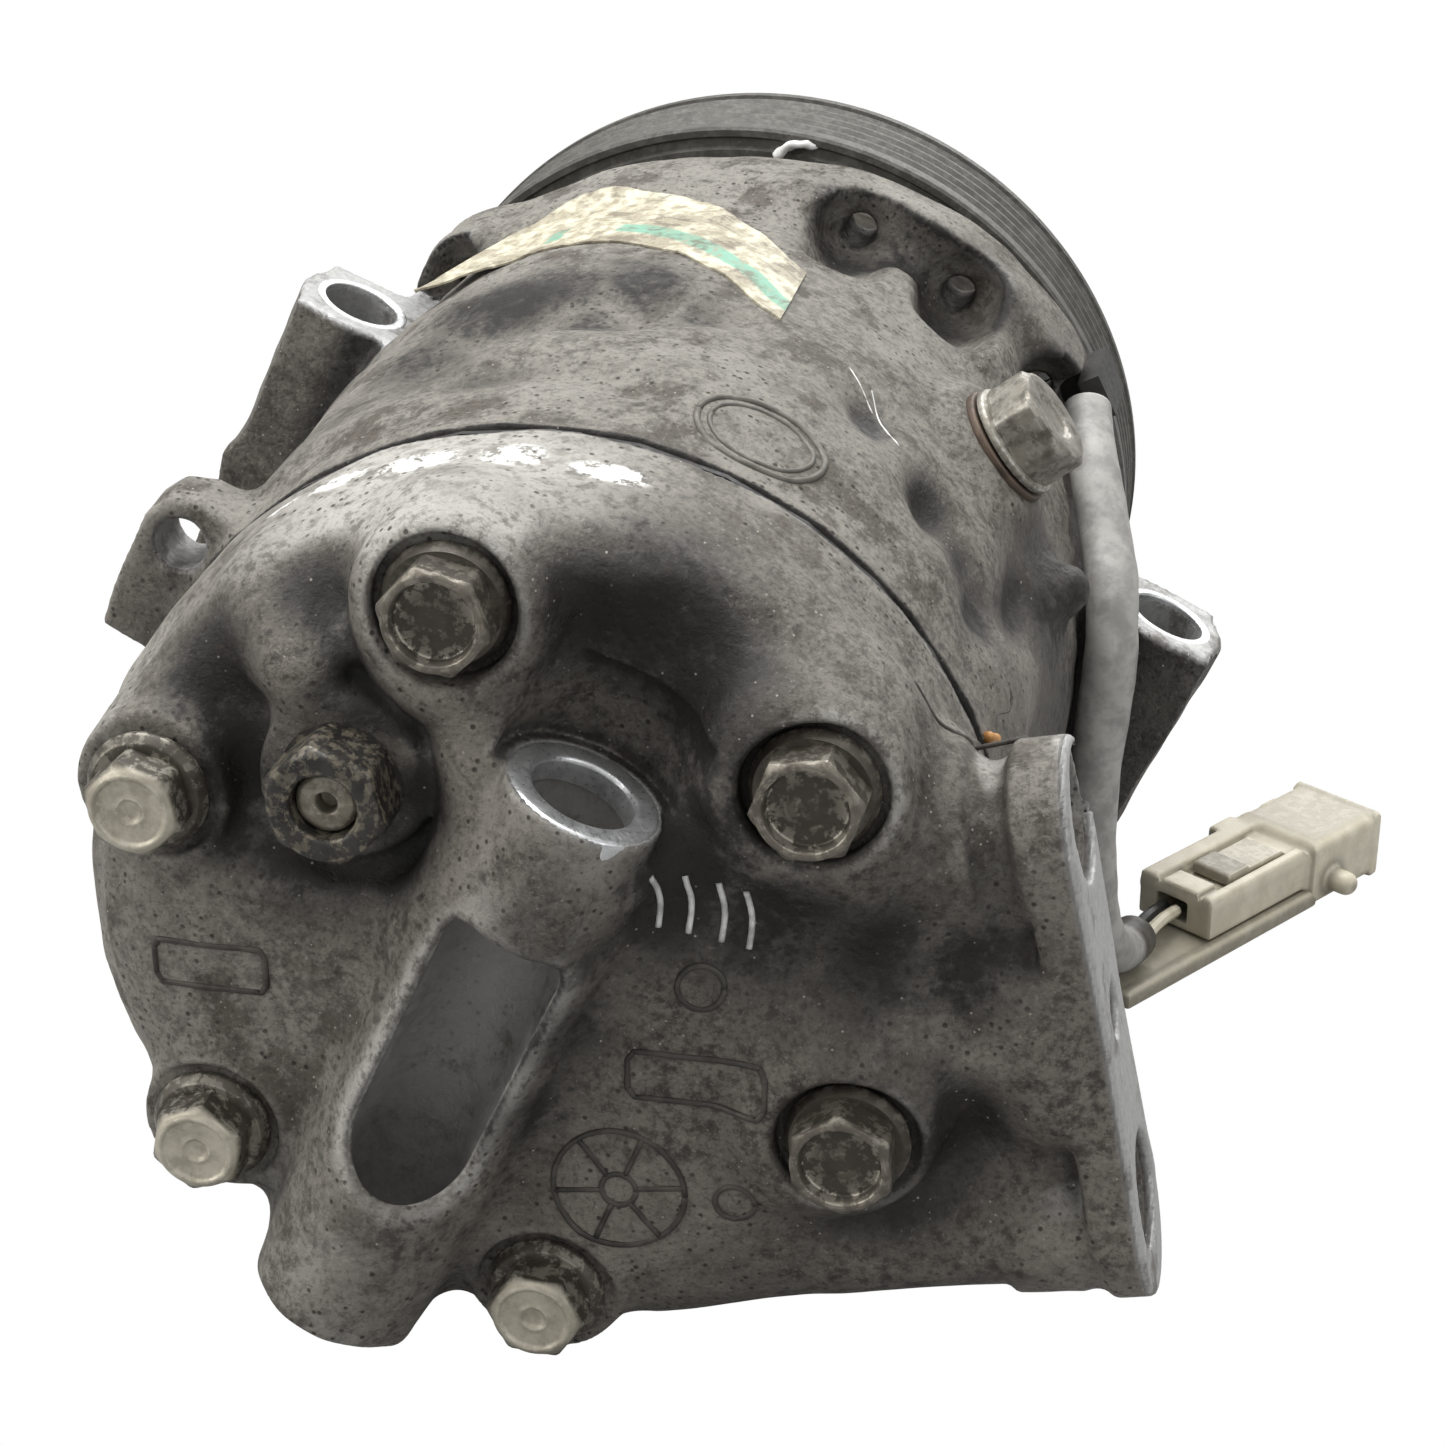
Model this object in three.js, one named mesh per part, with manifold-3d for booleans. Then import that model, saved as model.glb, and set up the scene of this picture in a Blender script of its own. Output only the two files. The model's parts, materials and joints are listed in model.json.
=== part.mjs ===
// Automotive air conditioning compressor: six single-acting pistons driven by a tilting
// swash plate, with an electromagnetic clutch and belt pulley. Millimetres, +Z up.
// The shaft runs along +Y: ports and rear head at low Y, pulley at high Y.
import * as THREE from "three";
import { mergeVertices } from "three/addons/utils/BufferGeometryUtils.js";
import Module from "manifold-3d";

const wasm = await Module();
wasm.setup();

// ---------------------------------------------------------------- driving dimensions
const SHAFT_HEIGHT = 62.5; // shaft axis above the floor, equal to the pulley radius
const SHIFT_X = -0.3; // moves the shaft axis so the bounding box is centred on X
const SHIFT_Y = -61; // moves the head joint plane so the bounding box is centred on Y
const GAP = 0.3; // space left between parts that touch in the real assembly
const RUN = 0.06; // radial running clearance

const SHELL_RADIUS = 57; // casting radius at the head joint
const BODY_RADIUS = 59.4; // casting radius along the crankcase
const CAVITY_RADIUS = 50.5;
const FRONT_WALL_Y = 97; // inside face of the front wall
const FRONT_FACE_Y = 113; // outside face of the front wall
const NOSE_RADIUS = 20;
const NOSE_END_Y = 143.5;

const BOLT_CIRCLE = 46.7;
const BOLT_PHASE = 95.6; // angle of the first head bolt about the shaft, from +X to +Z
const BOLT_RADIUS = 3.3;
const BOLT_HOLE = 3.7;
const BOLT_SEAT_Y = -30;

const MOUNT_ROLL = 24.6; // lean of the mounting bolt axes from vertical towards +X
const MOUNT_X = 64.3; // front mounting bolts each side of the shaft
const FRONT_MOUNT_Y = 85.2;
const REAR_MOUNT_Y = -33;
const FRONT_MOUNT_BORE = 5.6;
const REAR_MOUNT_BORE = 7.2;
const LEFT_MOUNT_TOP = 18.3;
const RIGHT_MOUNT_TOP = 32.3;
const REAR_MOUNT_TOP = 27.9;
const FRONT_MOUNT_BASE = -31;
const REAR_MOUNT_BASE = -54;

const PORT_TILT = 11.75; // rise of the port face normal above +X
const PORT_FACE = 70; // port face distance from the shaft axis
const PORT_Y = -17;
const PORT_TOP = 5.2; // centre of the upper lobe along the port face
const PORT_BOTTOM = -49.3; // centre of the lower lobe along the port face
const PORT_LOBE = 10.2;

const CYLINDERS = 6;
const CYLINDER_CIRCLE = 33;
const CYLINDER_BORE = 14.5;
const CYLINDER_PHASE = BOLT_PHASE + 30;
const SWASH_Y = 68;
const SWASH_RADIUS = 41;
const SWASH_HALF = 3;
const SHOE_RADIUS = 7;
const SHAFT_RADIUS = 8;

const PULLEY_RADIUS = 62.5;
const PULLEY_REAR_Y = 126.5;
const PULLEY_FRONT_Y = 150;
const GROOVES = 6;

// ---------------------------------------------------------------- directions
const X = new THREE.Vector3(1, 0, 0);
const Y = new THREE.Vector3(0, 1, 0);
const Z = new THREE.Vector3(0, 0, 1);
const rad = THREE.MathUtils.degToRad;

// Unit vector square to the shaft at an angle measured from +X towards +Z.
function radial(degrees) {
  return new THREE.Vector3(Math.cos(rad(degrees)), 0, Math.sin(rad(degrees)));
}

// Point at a radius and angle about the shaft, at height y along it.
function polar(radius, degrees, y) {
  return radial(degrees).multiplyScalar(radius).setY(y);
}

const MOUNT_UP = radial(90 - MOUNT_ROLL);
const MOUNT_SIDE = radial(-MOUNT_ROLL);
const PORT_OUT = radial(PORT_TILT);
const PORT_UP = radial(90 + PORT_TILT);

// Point given by offset across and along the mounting bolts.
function mountPoint(across, y, up) {
  return MOUNT_SIDE.clone().multiplyScalar(across).addScaledVector(MOUNT_UP, up).setY(y);
}

// Point given by distance out of and along the port face.
function portPoint(out, y, up) {
  return PORT_OUT.clone().multiplyScalar(out).addScaledVector(PORT_UP, up).setY(y);
}

// ---------------------------------------------------------------- solids
// Turns a three.js geometry into an exact solid with outward faces.
function solidOf(geometry) {
  const plain = geometry.clone();
  plain.deleteAttribute("normal");
  plain.deleteAttribute("uv");
  const merged = mergeVertices(plain, 1e-4);
  const points = merged.attributes.position.array;
  const source = merged.index.array;
  const faces = [];
  let volume = 0;
  for (let i = 0; i < source.length; i += 3) {
    const [a, b, c] = [source[i], source[i + 1], source[i + 2]];
    if (a === b || b === c || c === a) continue;
    faces.push(a, b, c);
    const p = new THREE.Vector3().fromArray(points, 3 * a);
    const q = new THREE.Vector3().fromArray(points, 3 * b);
    const r = new THREE.Vector3().fromArray(points, 3 * c);
    volume += p.dot(q.cross(r));
  }
  if (volume < 0) faces.reverse();
  return new wasm.Manifold(
    new wasm.Mesh({
      numProp: 3,
      vertProperties: Float32Array.from(points),
      triVerts: Uint32Array.from(faces),
    }),
  );
}

function union(parts) {
  return parts.reduce((sum, part) => sum.add(part));
}

function cut(base, tools) {
  return tools.reduce((rest, tool) => rest.subtract(tool), base);
}

// Solid of revolution about the shaft; points are [radius, y].
function turned(points, segments = 32) {
  const outline = points.map(([r, y]) => new THREE.Vector2(r, y));
  const first = outline[0];
  if (first.x > 0 || outline[outline.length - 1].x > 0) outline.push(first.clone());
  return solidOf(new THREE.LatheGeometry(outline, segments));
}

// Radius of a faceted hole that a faceted shaft of radius r can turn in.
function hole(r, segments) {
  return (r + RUN) / Math.cos(Math.PI / segments);
}

// Ring about the shaft between two radii and two stations.
function ring(inner, outer, y0, y1, segments = 28) {
  return turned(
    [
      [inner, y0],
      [outer, y0],
      [outer, y1],
      [inner, y1],
    ],
    segments,
  );
}

// Plain or tapered rod from one point to another.
function rod(radius, from, to, segments = 14, endRadius = radius) {
  const axis = to.clone().sub(from);
  const geometry = new THREE.CylinderGeometry(endRadius, radius, axis.length(), segments);
  geometry.applyQuaternion(new THREE.Quaternion().setFromUnitVectors(Y, axis.clone().normalize()));
  geometry.translate(...from.clone().addScaledVector(axis, 0.5).toArray());
  return solidOf(geometry);
}

// Rod along the shaft direction at a radius and angle about the shaft.
function axial(radius, circle, degrees, y0, y1, segments = 14) {
  return rod(radius, polar(circle, degrees, y0), polar(circle, degrees, y1), segments);
}

// Straight prism of a flat outline; u and v are the outline's directions.
function prism(outline, origin, u, v, depth) {
  const shape = new THREE.Shape(outline.map(([a, b]) => new THREE.Vector2(a, b)));
  const geometry = new THREE.ExtrudeGeometry(shape, { depth, bevelEnabled: false, curveSegments: 6 });
  const w = u.clone().cross(v);
  geometry.applyMatrix4(new THREE.Matrix4().makeBasis(u, v, w).setPosition(origin));
  return solidOf(geometry);
}

// Outline of a slot with round ends: two centres on the v axis and one radius.
function slotOutline(low, high, radius, steps = 6) {
  const points = [];
  for (let i = 0; i <= steps; i += 1) {
    const a = Math.PI * (i / steps);
    points.push([radius * Math.cos(a), high + radius * Math.sin(a)]);
  }
  for (let i = 0; i <= steps; i += 1) {
    const a = Math.PI * (1 + i / steps);
    points.push([radius * Math.cos(a), low + radius * Math.sin(a)]);
  }
  return points;
}

// Hexagonal prism along an axis, with its top corners turned down.
function hexagon(acrossFlats, from, to) {
  const corner = acrossFlats / Math.sqrt(3);
  return rod(corner, from, to, 6).intersect(rod(corner * 1.25, from, to, 24, acrossFlats / 2));
}

// ---------------------------------------------------------------- assembly list
const part = new THREE.Group();
part.name = "ac_compressor";

// Adds one named body with its own material.
function place(name, solid, colour, metalness = 0.8, roughness = 0.5) {
  const mesh = solid.asOriginal().simplify(0.02).getMesh();
  let geometry = new THREE.BufferGeometry();
  geometry.setAttribute("position", new THREE.BufferAttribute(mesh.vertProperties, 3));
  geometry.setIndex(new THREE.BufferAttribute(mesh.triVerts, 1));
  geometry = geometry.toNonIndexed();
  geometry.translate(SHIFT_X, SHIFT_Y, SHAFT_HEIGHT);
  geometry.computeVertexNormals();
  const material = new THREE.MeshStandardMaterial({ color: colour, metalness, roughness });
  const node = new THREE.Mesh(geometry, material);
  node.name = name;
  part.add(node);
}

const boltAngles = Array.from({ length: 6 }, (_, i) => BOLT_PHASE - 60 * i);
const cylinderAngles = Array.from({ length: CYLINDERS }, (_, i) => CYLINDER_PHASE - 60 * i);

// Six through holes for the head bolts, as cutting rods.
function boltHoles(y0, y1, radius = BOLT_HOLE) {
  return boltAngles.map((a) => axial(radius, BOLT_CIRCLE, a, y0, y1, 8));
}

// ---------------------------------------------------------------- rear head
function rearHead() {
  const dome = turned(
    [
      [0, -31],
      [40, -31],
      [47, -29.6],
      [52.4, -26],
      [55.8, -20],
      [57, -13],
      [SHELL_RADIUS, -0.5 - GAP],
      [0, -0.5 - GAP],
    ],
    32,
  );
  // Raised pads round the three upper bolts, and bosses that stand out for the other three.
  const pads = boltAngles.slice(0, 3).map((a) => axial(11.2, BOLT_CIRCLE - 2, a, -34, -20, 14));
  const bosses = boltAngles.slice(3).map((a) => axial(9.6, BOLT_CIRCLE, a, -30.6, -6, 14));
  // Ridge across the head that carries the rear mounting bolt.
  const ridge = [
    rod(10, mountPoint(0, REAR_MOUNT_Y, REAR_MOUNT_BASE), mountPoint(0, REAR_MOUNT_Y, REAR_MOUNT_TOP), 16),
    prism(
      [
        [-10, REAR_MOUNT_BASE],
        [10, REAR_MOUNT_BASE],
        [10, REAR_MOUNT_TOP],
        [-10, REAR_MOUNT_TOP],
      ],
      new THREE.Vector3(0, -22, 0),
      MOUNT_SIDE,
      MOUNT_UP,
      11,
    ),
  ];
  const reliefSeat = axial(10.5, 29.4, 127.6, -34.5, -20, 16);
  // Port block: a wide neck growing out of the dome, then the thicker flange plate.
  const neckOutline = slotOutline(PORT_BOTTOM + 3.2, PORT_TOP - 2.4, PORT_LOBE - 0.2);
  const plateOutline = slotOutline(PORT_BOTTOM, PORT_TOP, PORT_LOBE);
  const neck = prism(neckOutline, portPoint(4, PORT_Y, 0), Y, PORT_UP, 59.4);
  const plate = prism(plateOutline, portPoint(63, PORT_Y, 0), Y, PORT_UP, PORT_FACE - 63);
  const casting = union([dome, ...pads, ...bosses, ...ridge, reliefSeat, neck, plate]);

  const suctionPort = rod(7, portPoint(32, PORT_Y + 2, PORT_TOP), portPoint(72, PORT_Y + 2, PORT_TOP), 16);
  const dischargePort = rod(6, portPoint(20, PORT_Y, -46), portPoint(72, PORT_Y, -46), 16);
  const dischargeLink = rod(3.5, new THREE.Vector3(0, -17, 0), portPoint(23, PORT_Y, -46), 10);
  const clampHole = rod(3.4, portPoint(54, PORT_Y, -20.5), portPoint(72, PORT_Y, -20.5), 12);
  const mountBore = rod(
    REAR_MOUNT_BORE,
    mountPoint(0, REAR_MOUNT_Y, REAR_MOUNT_BASE - 2),
    mountPoint(0, REAR_MOUNT_Y, REAR_MOUNT_TOP + 2),
    32,
  );
  // Free way for the mounting bolt across the upper face of the head.
  const boltWay = rod(
    10.5,
    mountPoint(0, REAR_MOUNT_Y, REAR_MOUNT_TOP),
    mountPoint(0, REAR_MOUNT_Y, SHELL_RADIUS + 4),
    24,
  );
  const window = prism(
    slotOutline(-24, 4, 6.4),
    new THREE.Vector3(0, REAR_MOUNT_Y, 0),
    MOUNT_SIDE,
    MOUNT_UP,
    12,
  );
  return cut(casting, [
    turned(
      [
        [0, -22.5],
        [26.8, -22.5],
        [26.8, 1],
        [0, 1],
      ],
      20,
    ),
    ring(30.2, 41, -18, 1, 20),
    ...boltHoles(-36, 1),
    ...boltAngles.map((a) => axial(8.9, BOLT_CIRCLE, a, -40, BOLT_SEAT_Y, 12)),
    axial(8.6, 29.4, 127.6, -40, -31.6, 16),
    axial(4.4, 29.4, 127.6, -40, -21, 12),
    rod(6.3, polar(22, -114.4, -10.5), polar(62, -114.4, -10.5), 16),
    mountBore,
    boltWay,
    window,
    suctionPort,
    dischargePort,
    dischargeLink,
    clampHole,
  ]);
}
place("rear_head", rearHead(), 0x8a8780, 0.85, 0.55);

// Hexagon flange bolt: dished hexagon, round flange and a shank that reaches the crankcase.
function headBolt(angle) {
  const at = (y) => polar(BOLT_CIRCLE, angle, y);
  const top = BOLT_SEAT_Y - GAP;
  const head = union([
    rod(7.9, at(top), at(top - 1.4), 28, 6.6),
    hexagon(11, at(top - 1), at(top - 6.8)),
  ]);
  const dish = rod(3.9, at(top - 5.6), at(top - 7), 20, 4.4);
  return cut(head, [dish]).add(rod(BOLT_RADIUS, at(top - 2), at(94), 8));
}
boltAngles.forEach((a, i) => place(`head_bolt_${i + 1}`, headBolt(a), 0x9a8f6c, 0.7, 0.45));

// Relief valve: hexagon body screwed in the head, with a vented cap disc in its mouth.
const reliefAt = (y) => polar(29.4, 127.6, y);
place(
  "relief_valve_body",
  cut(
    union([
      hexagon(13.6, reliefAt(-31.9), reliefAt(-39.4)),
      rod(4.3, reliefAt(-32.5), reliefAt(-23), 12),
    ]),
    [rod(4, reliefAt(-35), reliefAt(-41), 14), rod(1.6, reliefAt(-20), reliefAt(-36), 8)],
  ),
  0x5c5348,
  0.7,
  0.6,
);
place(
  "relief_valve_disc",
  cut(rod(3.7, reliefAt(-35.3), reliefAt(-37.6), 14), [rod(1.3, reliefAt(-34), reliefAt(-39), 8)]),
  0x6d6558,
  0.7,
  0.6,
);

// Pneumatic displacement control valve in its radial bore.
const valveAt = (r) => polar(r, -114.4, -10.5);
place(
  "control_valve",
  union([
    rod(6.1, valveAt(24), valveAt(34), 14),
    rod(5, valveAt(33), valveAt(38), 14),
    rod(6.1, valveAt(37), valveAt(49), 14),
    rod(4.6, valveAt(48), valveAt(54.5), 14),
  ]),
  0xb9a25a,
  0.8,
  0.35,
);

// ---------------------------------------------------------------- valve stack and block
place("head_gasket", cut(ring(42, SHELL_RADIUS - 0.2, -0.5, 0.5, 32), boltHoles(-1, 1)), 0x2b2b2b, 0.2, 0.8);
const dischargeReed = cut(ring(12, 41, 1, 1.5, 28), cylinderAngles.map((a) => axial(5, 40, a + 30, 0, 2, 6)));
place("discharge_reed", dischargeReed, 0x9fa4a8, 0.9, 0.3);
const valvePlate = cut(ring(3, 50.2, 1.5 + GAP, 5.2, 24), [
  ...boltHoles(1, 6),
  ...cylinderAngles.map((a) => axial(3, 24, a, 1, 6, 6)),
  ...cylinderAngles.map((a) => axial(3.6, 38, a, 1, 6, 6)),
]);
place("valve_plate", valvePlate, 0x8d9093, 0.9, 0.4);
const suctionReed = cut(ring(3, 50.2, 5.2 + GAP, 6, 24), [
  ...boltHoles(5, 7),
  ...cylinderAngles.map((a) => axial(3.4, 24, a, 5, 7, 6)),
]);
place("suction_reed", suctionReed, 0xa4a8ab, 0.9, 0.3);

const BLOCK_FRONT_Y = 50;
const block = cut(
  turned(
    [
      [12, 6 + GAP],
      [50.2, 6 + GAP],
      [50.2, BLOCK_FRONT_Y],
      [12, BLOCK_FRONT_Y],
    ],
    32,
  ),
  [...boltHoles(6, 51), ...cylinderAngles.map((a) => axial(CYLINDER_BORE, CYLINDER_CIRCLE, a, 5, 51, 16))],
);
place("cylinder_block", block, 0xa9aaa8, 0.85, 0.45);

// ---------------------------------------------------------------- coil lead route
// Centreline of the sleeve from its clip on the front rim, down past the right hand
// mounting boss to the floor, then of the bare wires into the connector.
const SLEEVE_RADIUS = 3.5;
const leadRoute = [
  [57, 102.4, 28.2],
  [58.1, 97, 25.2],
  [59.8, 90, 21.6],
  [62.4, 82, 14.8],
  [64.2, 74.5, 8.6],
  [64.5, 70.8, -1],
  [63.6, 70.2, -13],
  [63.2, 70.6, -25],
  [63.8, 72, -36],
  [65, 75, -45.5],
  [66.6, 80, -51.5],
  [68.2, 86, -54.8],
  [69.8, 91, -55.4],
].map((point) => new THREE.Vector3(...point));
const CONNECTOR = new THREE.Vector3(70.1, 79.5, -SHAFT_HEIGHT);
const ALONG = new THREE.Vector3(0.571, 0.821, 0).normalize();
const ASIDE = new THREE.Vector3().crossVectors(Z, ALONG);

// Point on the connector: along it, across it and above the floor.
function connectorPoint(along, aside, up) {
  return CONNECTOR.clone().addScaledVector(ALONG, along).addScaledVector(ASIDE, aside).addScaledVector(Z, up);
}

// Box aligned with the connector.
function connectorBox(along0, along1, aside0, aside1, up0, up1) {
  const outline = [
    [along0, aside0],
    [along1, aside0],
    [along1, aside1],
    [along0, aside1],
  ];
  return prism(outline, connectorPoint(0, 0, up0), ALONG, ASIDE, up1 - up0);
}

// Round tube swept along a smooth line through the points.
function tube(points, radius, steps, sides = 8) {
  const circle = new THREE.Shape();
  for (let i = 0; i < sides; i += 1) {
    const a = (2 * Math.PI * i) / sides;
    const corner = [radius * Math.cos(a), radius * Math.sin(a)];
    if (i === 0) circle.moveTo(...corner);
    else circle.lineTo(...corner);
  }
  circle.closePath();
  const extrudePath = new THREE.CatmullRomCurve3(points, false, "centripetal");
  return solidOf(new THREE.ExtrudeGeometry(circle, { steps, extrudePath, bevelEnabled: false }));
}

// ---------------------------------------------------------------- front housing
// Boss for a front mounting bolt, round towards the shaft and square on the outside.
function mountBoss(side, top) {
  const centre = MOUNT_X * side;
  const outer = centre + 8.4 * side;
  const inner = centre - 20 * side;
  const body = prism(
    [
      [centre, -9.8],
      [outer, -9.8],
      [outer, 9.4],
      [inner, 9.4],
      [inner, -3],
      [centre - 7 * side, -6.8],
    ],
    mountPoint(0, FRONT_MOUNT_Y, top),
    MOUNT_SIDE,
    Y,
    FRONT_MOUNT_BASE - top,
  );
  const round = rod(
    9.8,
    mountPoint(centre, FRONT_MOUNT_Y, FRONT_MOUNT_BASE),
    mountPoint(centre, FRONT_MOUNT_Y, top),
    28,
  );
  return body.add(round);
}

function frontHousing() {
  const shell = turned(
    [
      [CAVITY_RADIUS, 0.5 + GAP],
      [SHELL_RADIUS, 0.5 + GAP],
      [SHELL_RADIUS + 0.6, 7],
      [BODY_RADIUS, 15],
      [BODY_RADIUS, 92],
      [61.5, 99],
      [61.5, 112],
      [59.5, FRONT_FACE_Y],
      [24, FRONT_FACE_Y],
      [NOSE_RADIUS, 115],
      [NOSE_RADIUS, 140.5],
      [NOSE_RADIUS - 1.2, 140.5],
      [NOSE_RADIUS - 1.2, 141.9],
      [NOSE_RADIUS, 141.9],
      [NOSE_RADIUS, NOSE_END_Y],
      [13, NOSE_END_Y],
      [13, 119],
      [10, 119],
      [10, 115.5],
      [13.5, 115.5],
      [13.5, FRONT_WALL_Y],
      [CAVITY_RADIUS, FRONT_WALL_Y],
    ],
    32,
  );
  const left = mountBoss(-1, LEFT_MOUNT_TOP);
  const right = mountBoss(1, RIGHT_MOUNT_TOP);
  // Flat lug beside the head joint, drilled parallel to the shaft.
  const lug = prism(
    [
      [-66.4, -3],
      [-48, -3],
      [-48, 19.4],
      [-60.5, 19.2],
      [-64.4, 17.8],
      [-66.4, 14.4],
    ],
    new THREE.Vector3(0, 3, 0),
    MOUNT_SIDE,
    MOUNT_UP,
    -9.5,
  );
  const plugBoss = rod(10, polar(50, 37, 59), polar(60.6, 37, 59), 16);
  // Lugs round the front rim, drilled parallel to the shaft.
  const rimLugs = [32, 50.5, 68, 131].map((a) => axial(8.2, 57, a, 98, FRONT_FACE_Y, 14));
  const leadNotch = [
    rod(4.8, leadRoute[0].clone().setY(120), leadRoute[0].clone().setY(96), 12),
    ...leadRoute
      .slice(1, 10)
      .map((point, i) => rod(4.4, leadRoute[i], point.clone().lerp(leadRoute[i], -0.2), 12)),
  ];
  const anchors = boltAngles.map((a) => axial(6.8, BOLT_CIRCLE, a, 84, 99, 10));
  const casting = union([shell, left, right, lug, plugBoss, ...rimLugs]);
  const cavity = ring(NOSE_RADIUS + 4, CAVITY_RADIUS, 0, FRONT_WALL_Y, 32);
  const seat = rod(24.5, new THREE.Vector3(0, 0, 0), new THREE.Vector3(0, FRONT_WALL_Y, 0), 24);
  const hollow = cut(casting, [cavity, seat]).add(union(anchors));
  return cut(hollow, [
    ...[-1, 1].map((side) =>
      rod(
        FRONT_MOUNT_BORE,
        mountPoint(MOUNT_X * side, FRONT_MOUNT_Y, FRONT_MOUNT_BASE - 2),
        mountPoint(MOUNT_X * side, FRONT_MOUNT_Y, RIGHT_MOUNT_TOP + 2),
        28,
      ),
    ),
    rod(3.3, mountPoint(-60.5, 0, 12.8), mountPoint(-60.5, 16, 12.8), 12),
    ...[32, 50.5, 68, 131].map((a) => axial(3.5, 57, a, 90, 120, 8)),
    ...[32, 50.5, 68, 131].map((a) => axial(6.4, 58, a, 92, 104, 10)),
    ...boltHoles(80, 95, BOLT_RADIUS + 0.15),
    rod(5.3, polar(48, 37, 59), polar(62, 37, 59), 12),
    ...leadNotch,
  ]);
}
place("front_housing", frontHousing(), 0x8f8c82, 0.85, 0.6);

// Oil filler plug on its radial boss, with a sealing washer.
const plugAt = (r) => polar(r, 37, 59);
const plugWasher = cut(rod(8.6, plugAt(60.9), plugAt(62.2), 16), [rod(5.3, plugAt(60), plugAt(63), 12)]);
place("oil_plug_washer", plugWasher, 0x6b4a32);
place(
  "oil_plug",
  union([
    rod(8.2, plugAt(62.5), plugAt(63.7), 16),
    hexagon(13.5, plugAt(63.5), plugAt(70)),
    rod(5, plugAt(51), plugAt(63), 12),
  ]),
  0x8a8478,
);

// ---------------------------------------------------------------- shaft and drive
const shaftLine = (points) => turned(points, 24);
place(
  "drive_shaft",
  shaftLine([
    [0, 22],
    [SHAFT_RADIUS, 22],
    [SHAFT_RADIUS, 84],
    [9.4, 84],
    [9.4, 127],
    [7, 127],
    [7, 158.6],
    [0, 158.6],
  ]),
  0x7d8084,
  0.95,
  0.25,
);
place("bearing_rear", ring(hole(SHAFT_RADIUS, 24), 11.8, 28, 46, 24), 0x84878a, 0.95, 0.25);
place("bearing_front", ring(hole(9.4, 24), 13.2, 99, 115, 24), 0x84878a, 0.95, 0.25);
place("shaft_seal", ring(hole(9.4, 24), 12.7, 119.3, 126, 24), 0x242424, 0.1, 0.7);
place("lug_plate", ring(9.5, 36, 89, 93.2, 28), 0x6f7276, 0.9, 0.4);
place("lug_thrust_bearing", ring(16, 27, 93.5, FRONT_WALL_Y - GAP, 24), 0x84878a, 0.95, 0.3);

const swashPlate = turned(
  [
    [10.4, SWASH_Y - SWASH_HALF - 1.6],
    [17, SWASH_Y - SWASH_HALF - 1.6],
    [17.6, SWASH_Y - SWASH_HALF],
    [SWASH_RADIUS - 0.6, SWASH_Y - SWASH_HALF],
    [SWASH_RADIUS, SWASH_Y - SWASH_HALF + 0.6],
    [SWASH_RADIUS, SWASH_Y + SWASH_HALF - 0.6],
    [SWASH_RADIUS - 0.6, SWASH_Y + SWASH_HALF],
    [17.6, SWASH_Y + SWASH_HALF],
    [17, SWASH_Y + SWASH_HALF + 1.6],
    [10.4, SWASH_Y + SWASH_HALF + 1.6],
  ],
  28,
);
place("swash_plate", swashPlate, 0xa5875a, 0.8, 0.35);

// Piston: head in its bore, and a bridge over the swash plate rim with two shoe sockets.
const PISTON_RADIUS = CYLINDER_BORE - RUN;
const PISTON_CROWN_Y = 16;
const JAW = 5.8; // half the space between the jaws
const JAW_RADIUS = 8.2;
function piston(angle) {
  const at = (y) => polar(CYLINDER_CIRCLE, angle, y);
  const clear = rod(SWASH_RADIUS + 1.2, new THREE.Vector3(0, 50, 0), new THREE.Vector3(0, 90, 0), 24);
  const body = union([
    rod(PISTON_RADIUS, at(PISTON_CROWN_Y), at(57), 16),
    cut(rod(PISTON_RADIUS, at(56), at(79), 16), [clear]),
    rod(PISTON_RADIUS, at(76.5), at(79), 16),
    rod(JAW_RADIUS, at(56), at(SWASH_Y - JAW), 12),
    rod(JAW_RADIUS, at(SWASH_Y + JAW), at(79), 12),
  ]);
  const ball = new THREE.SphereGeometry(SHOE_RADIUS + 0.25, 12, 8);
  ball.translate(...at(SWASH_Y).toArray());
  return cut(body, [solidOf(ball)]);
}

// Hemispherical shoe: flat against the swash plate, round in the piston socket.
function shoe(angle, side) {
  const at = (offset) => polar(CYLINDER_CIRCLE, angle, SWASH_Y + side * offset);
  return union([
    rod(6.1, at(SWASH_HALF + 0.25), at(4.6), 12, 5.2),
    rod(5.2, at(4.6), at(6), 12, 3.4),
    rod(3.4, at(6), at(6.8), 12, 1.2),
  ]);
}
cylinderAngles.forEach((a, i) => {
  place(`piston_${i + 1}`, piston(a), 0xb4b5b3, 0.85, 0.35);
  place(`shoe_${i + 1}_rear`, shoe(a, -1), 0x74777b, 0.95, 0.2);
  place(`shoe_${i + 1}_front`, shoe(a, 1), 0x74777b, 0.95, 0.2);
});

// ---------------------------------------------------------------- clutch and pulley
const coilYoke = cut(ring(32, 54.5, FRONT_FACE_Y + GAP, 142, 24), [ring(36, 50.5, 117, 143, 24)]).add(
  ring(20.4, 33, FRONT_FACE_Y + 2 + GAP, 117, 24),
);
place("coil_yoke", coilYoke, 0x3c3a38, 0.6, 0.6);
place("coil_winding", ring(36.4, 49.9, 117.3, 141, 24), 0x23364a, 0.1, 0.6);
const circlipGap = rod(3, polar(17, -90, 141.2), polar(24, -90, 141.2), 8);
place("bearing_circlip", cut(ring(19, 22.4, 140.7, 141.7, 28), [circlipGap]), 0x5b5e62);
place("pulley_bearing", ring(20.15, 27, 121, 140.2, 32), 0x6a6d70, 0.9, 0.3);

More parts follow.
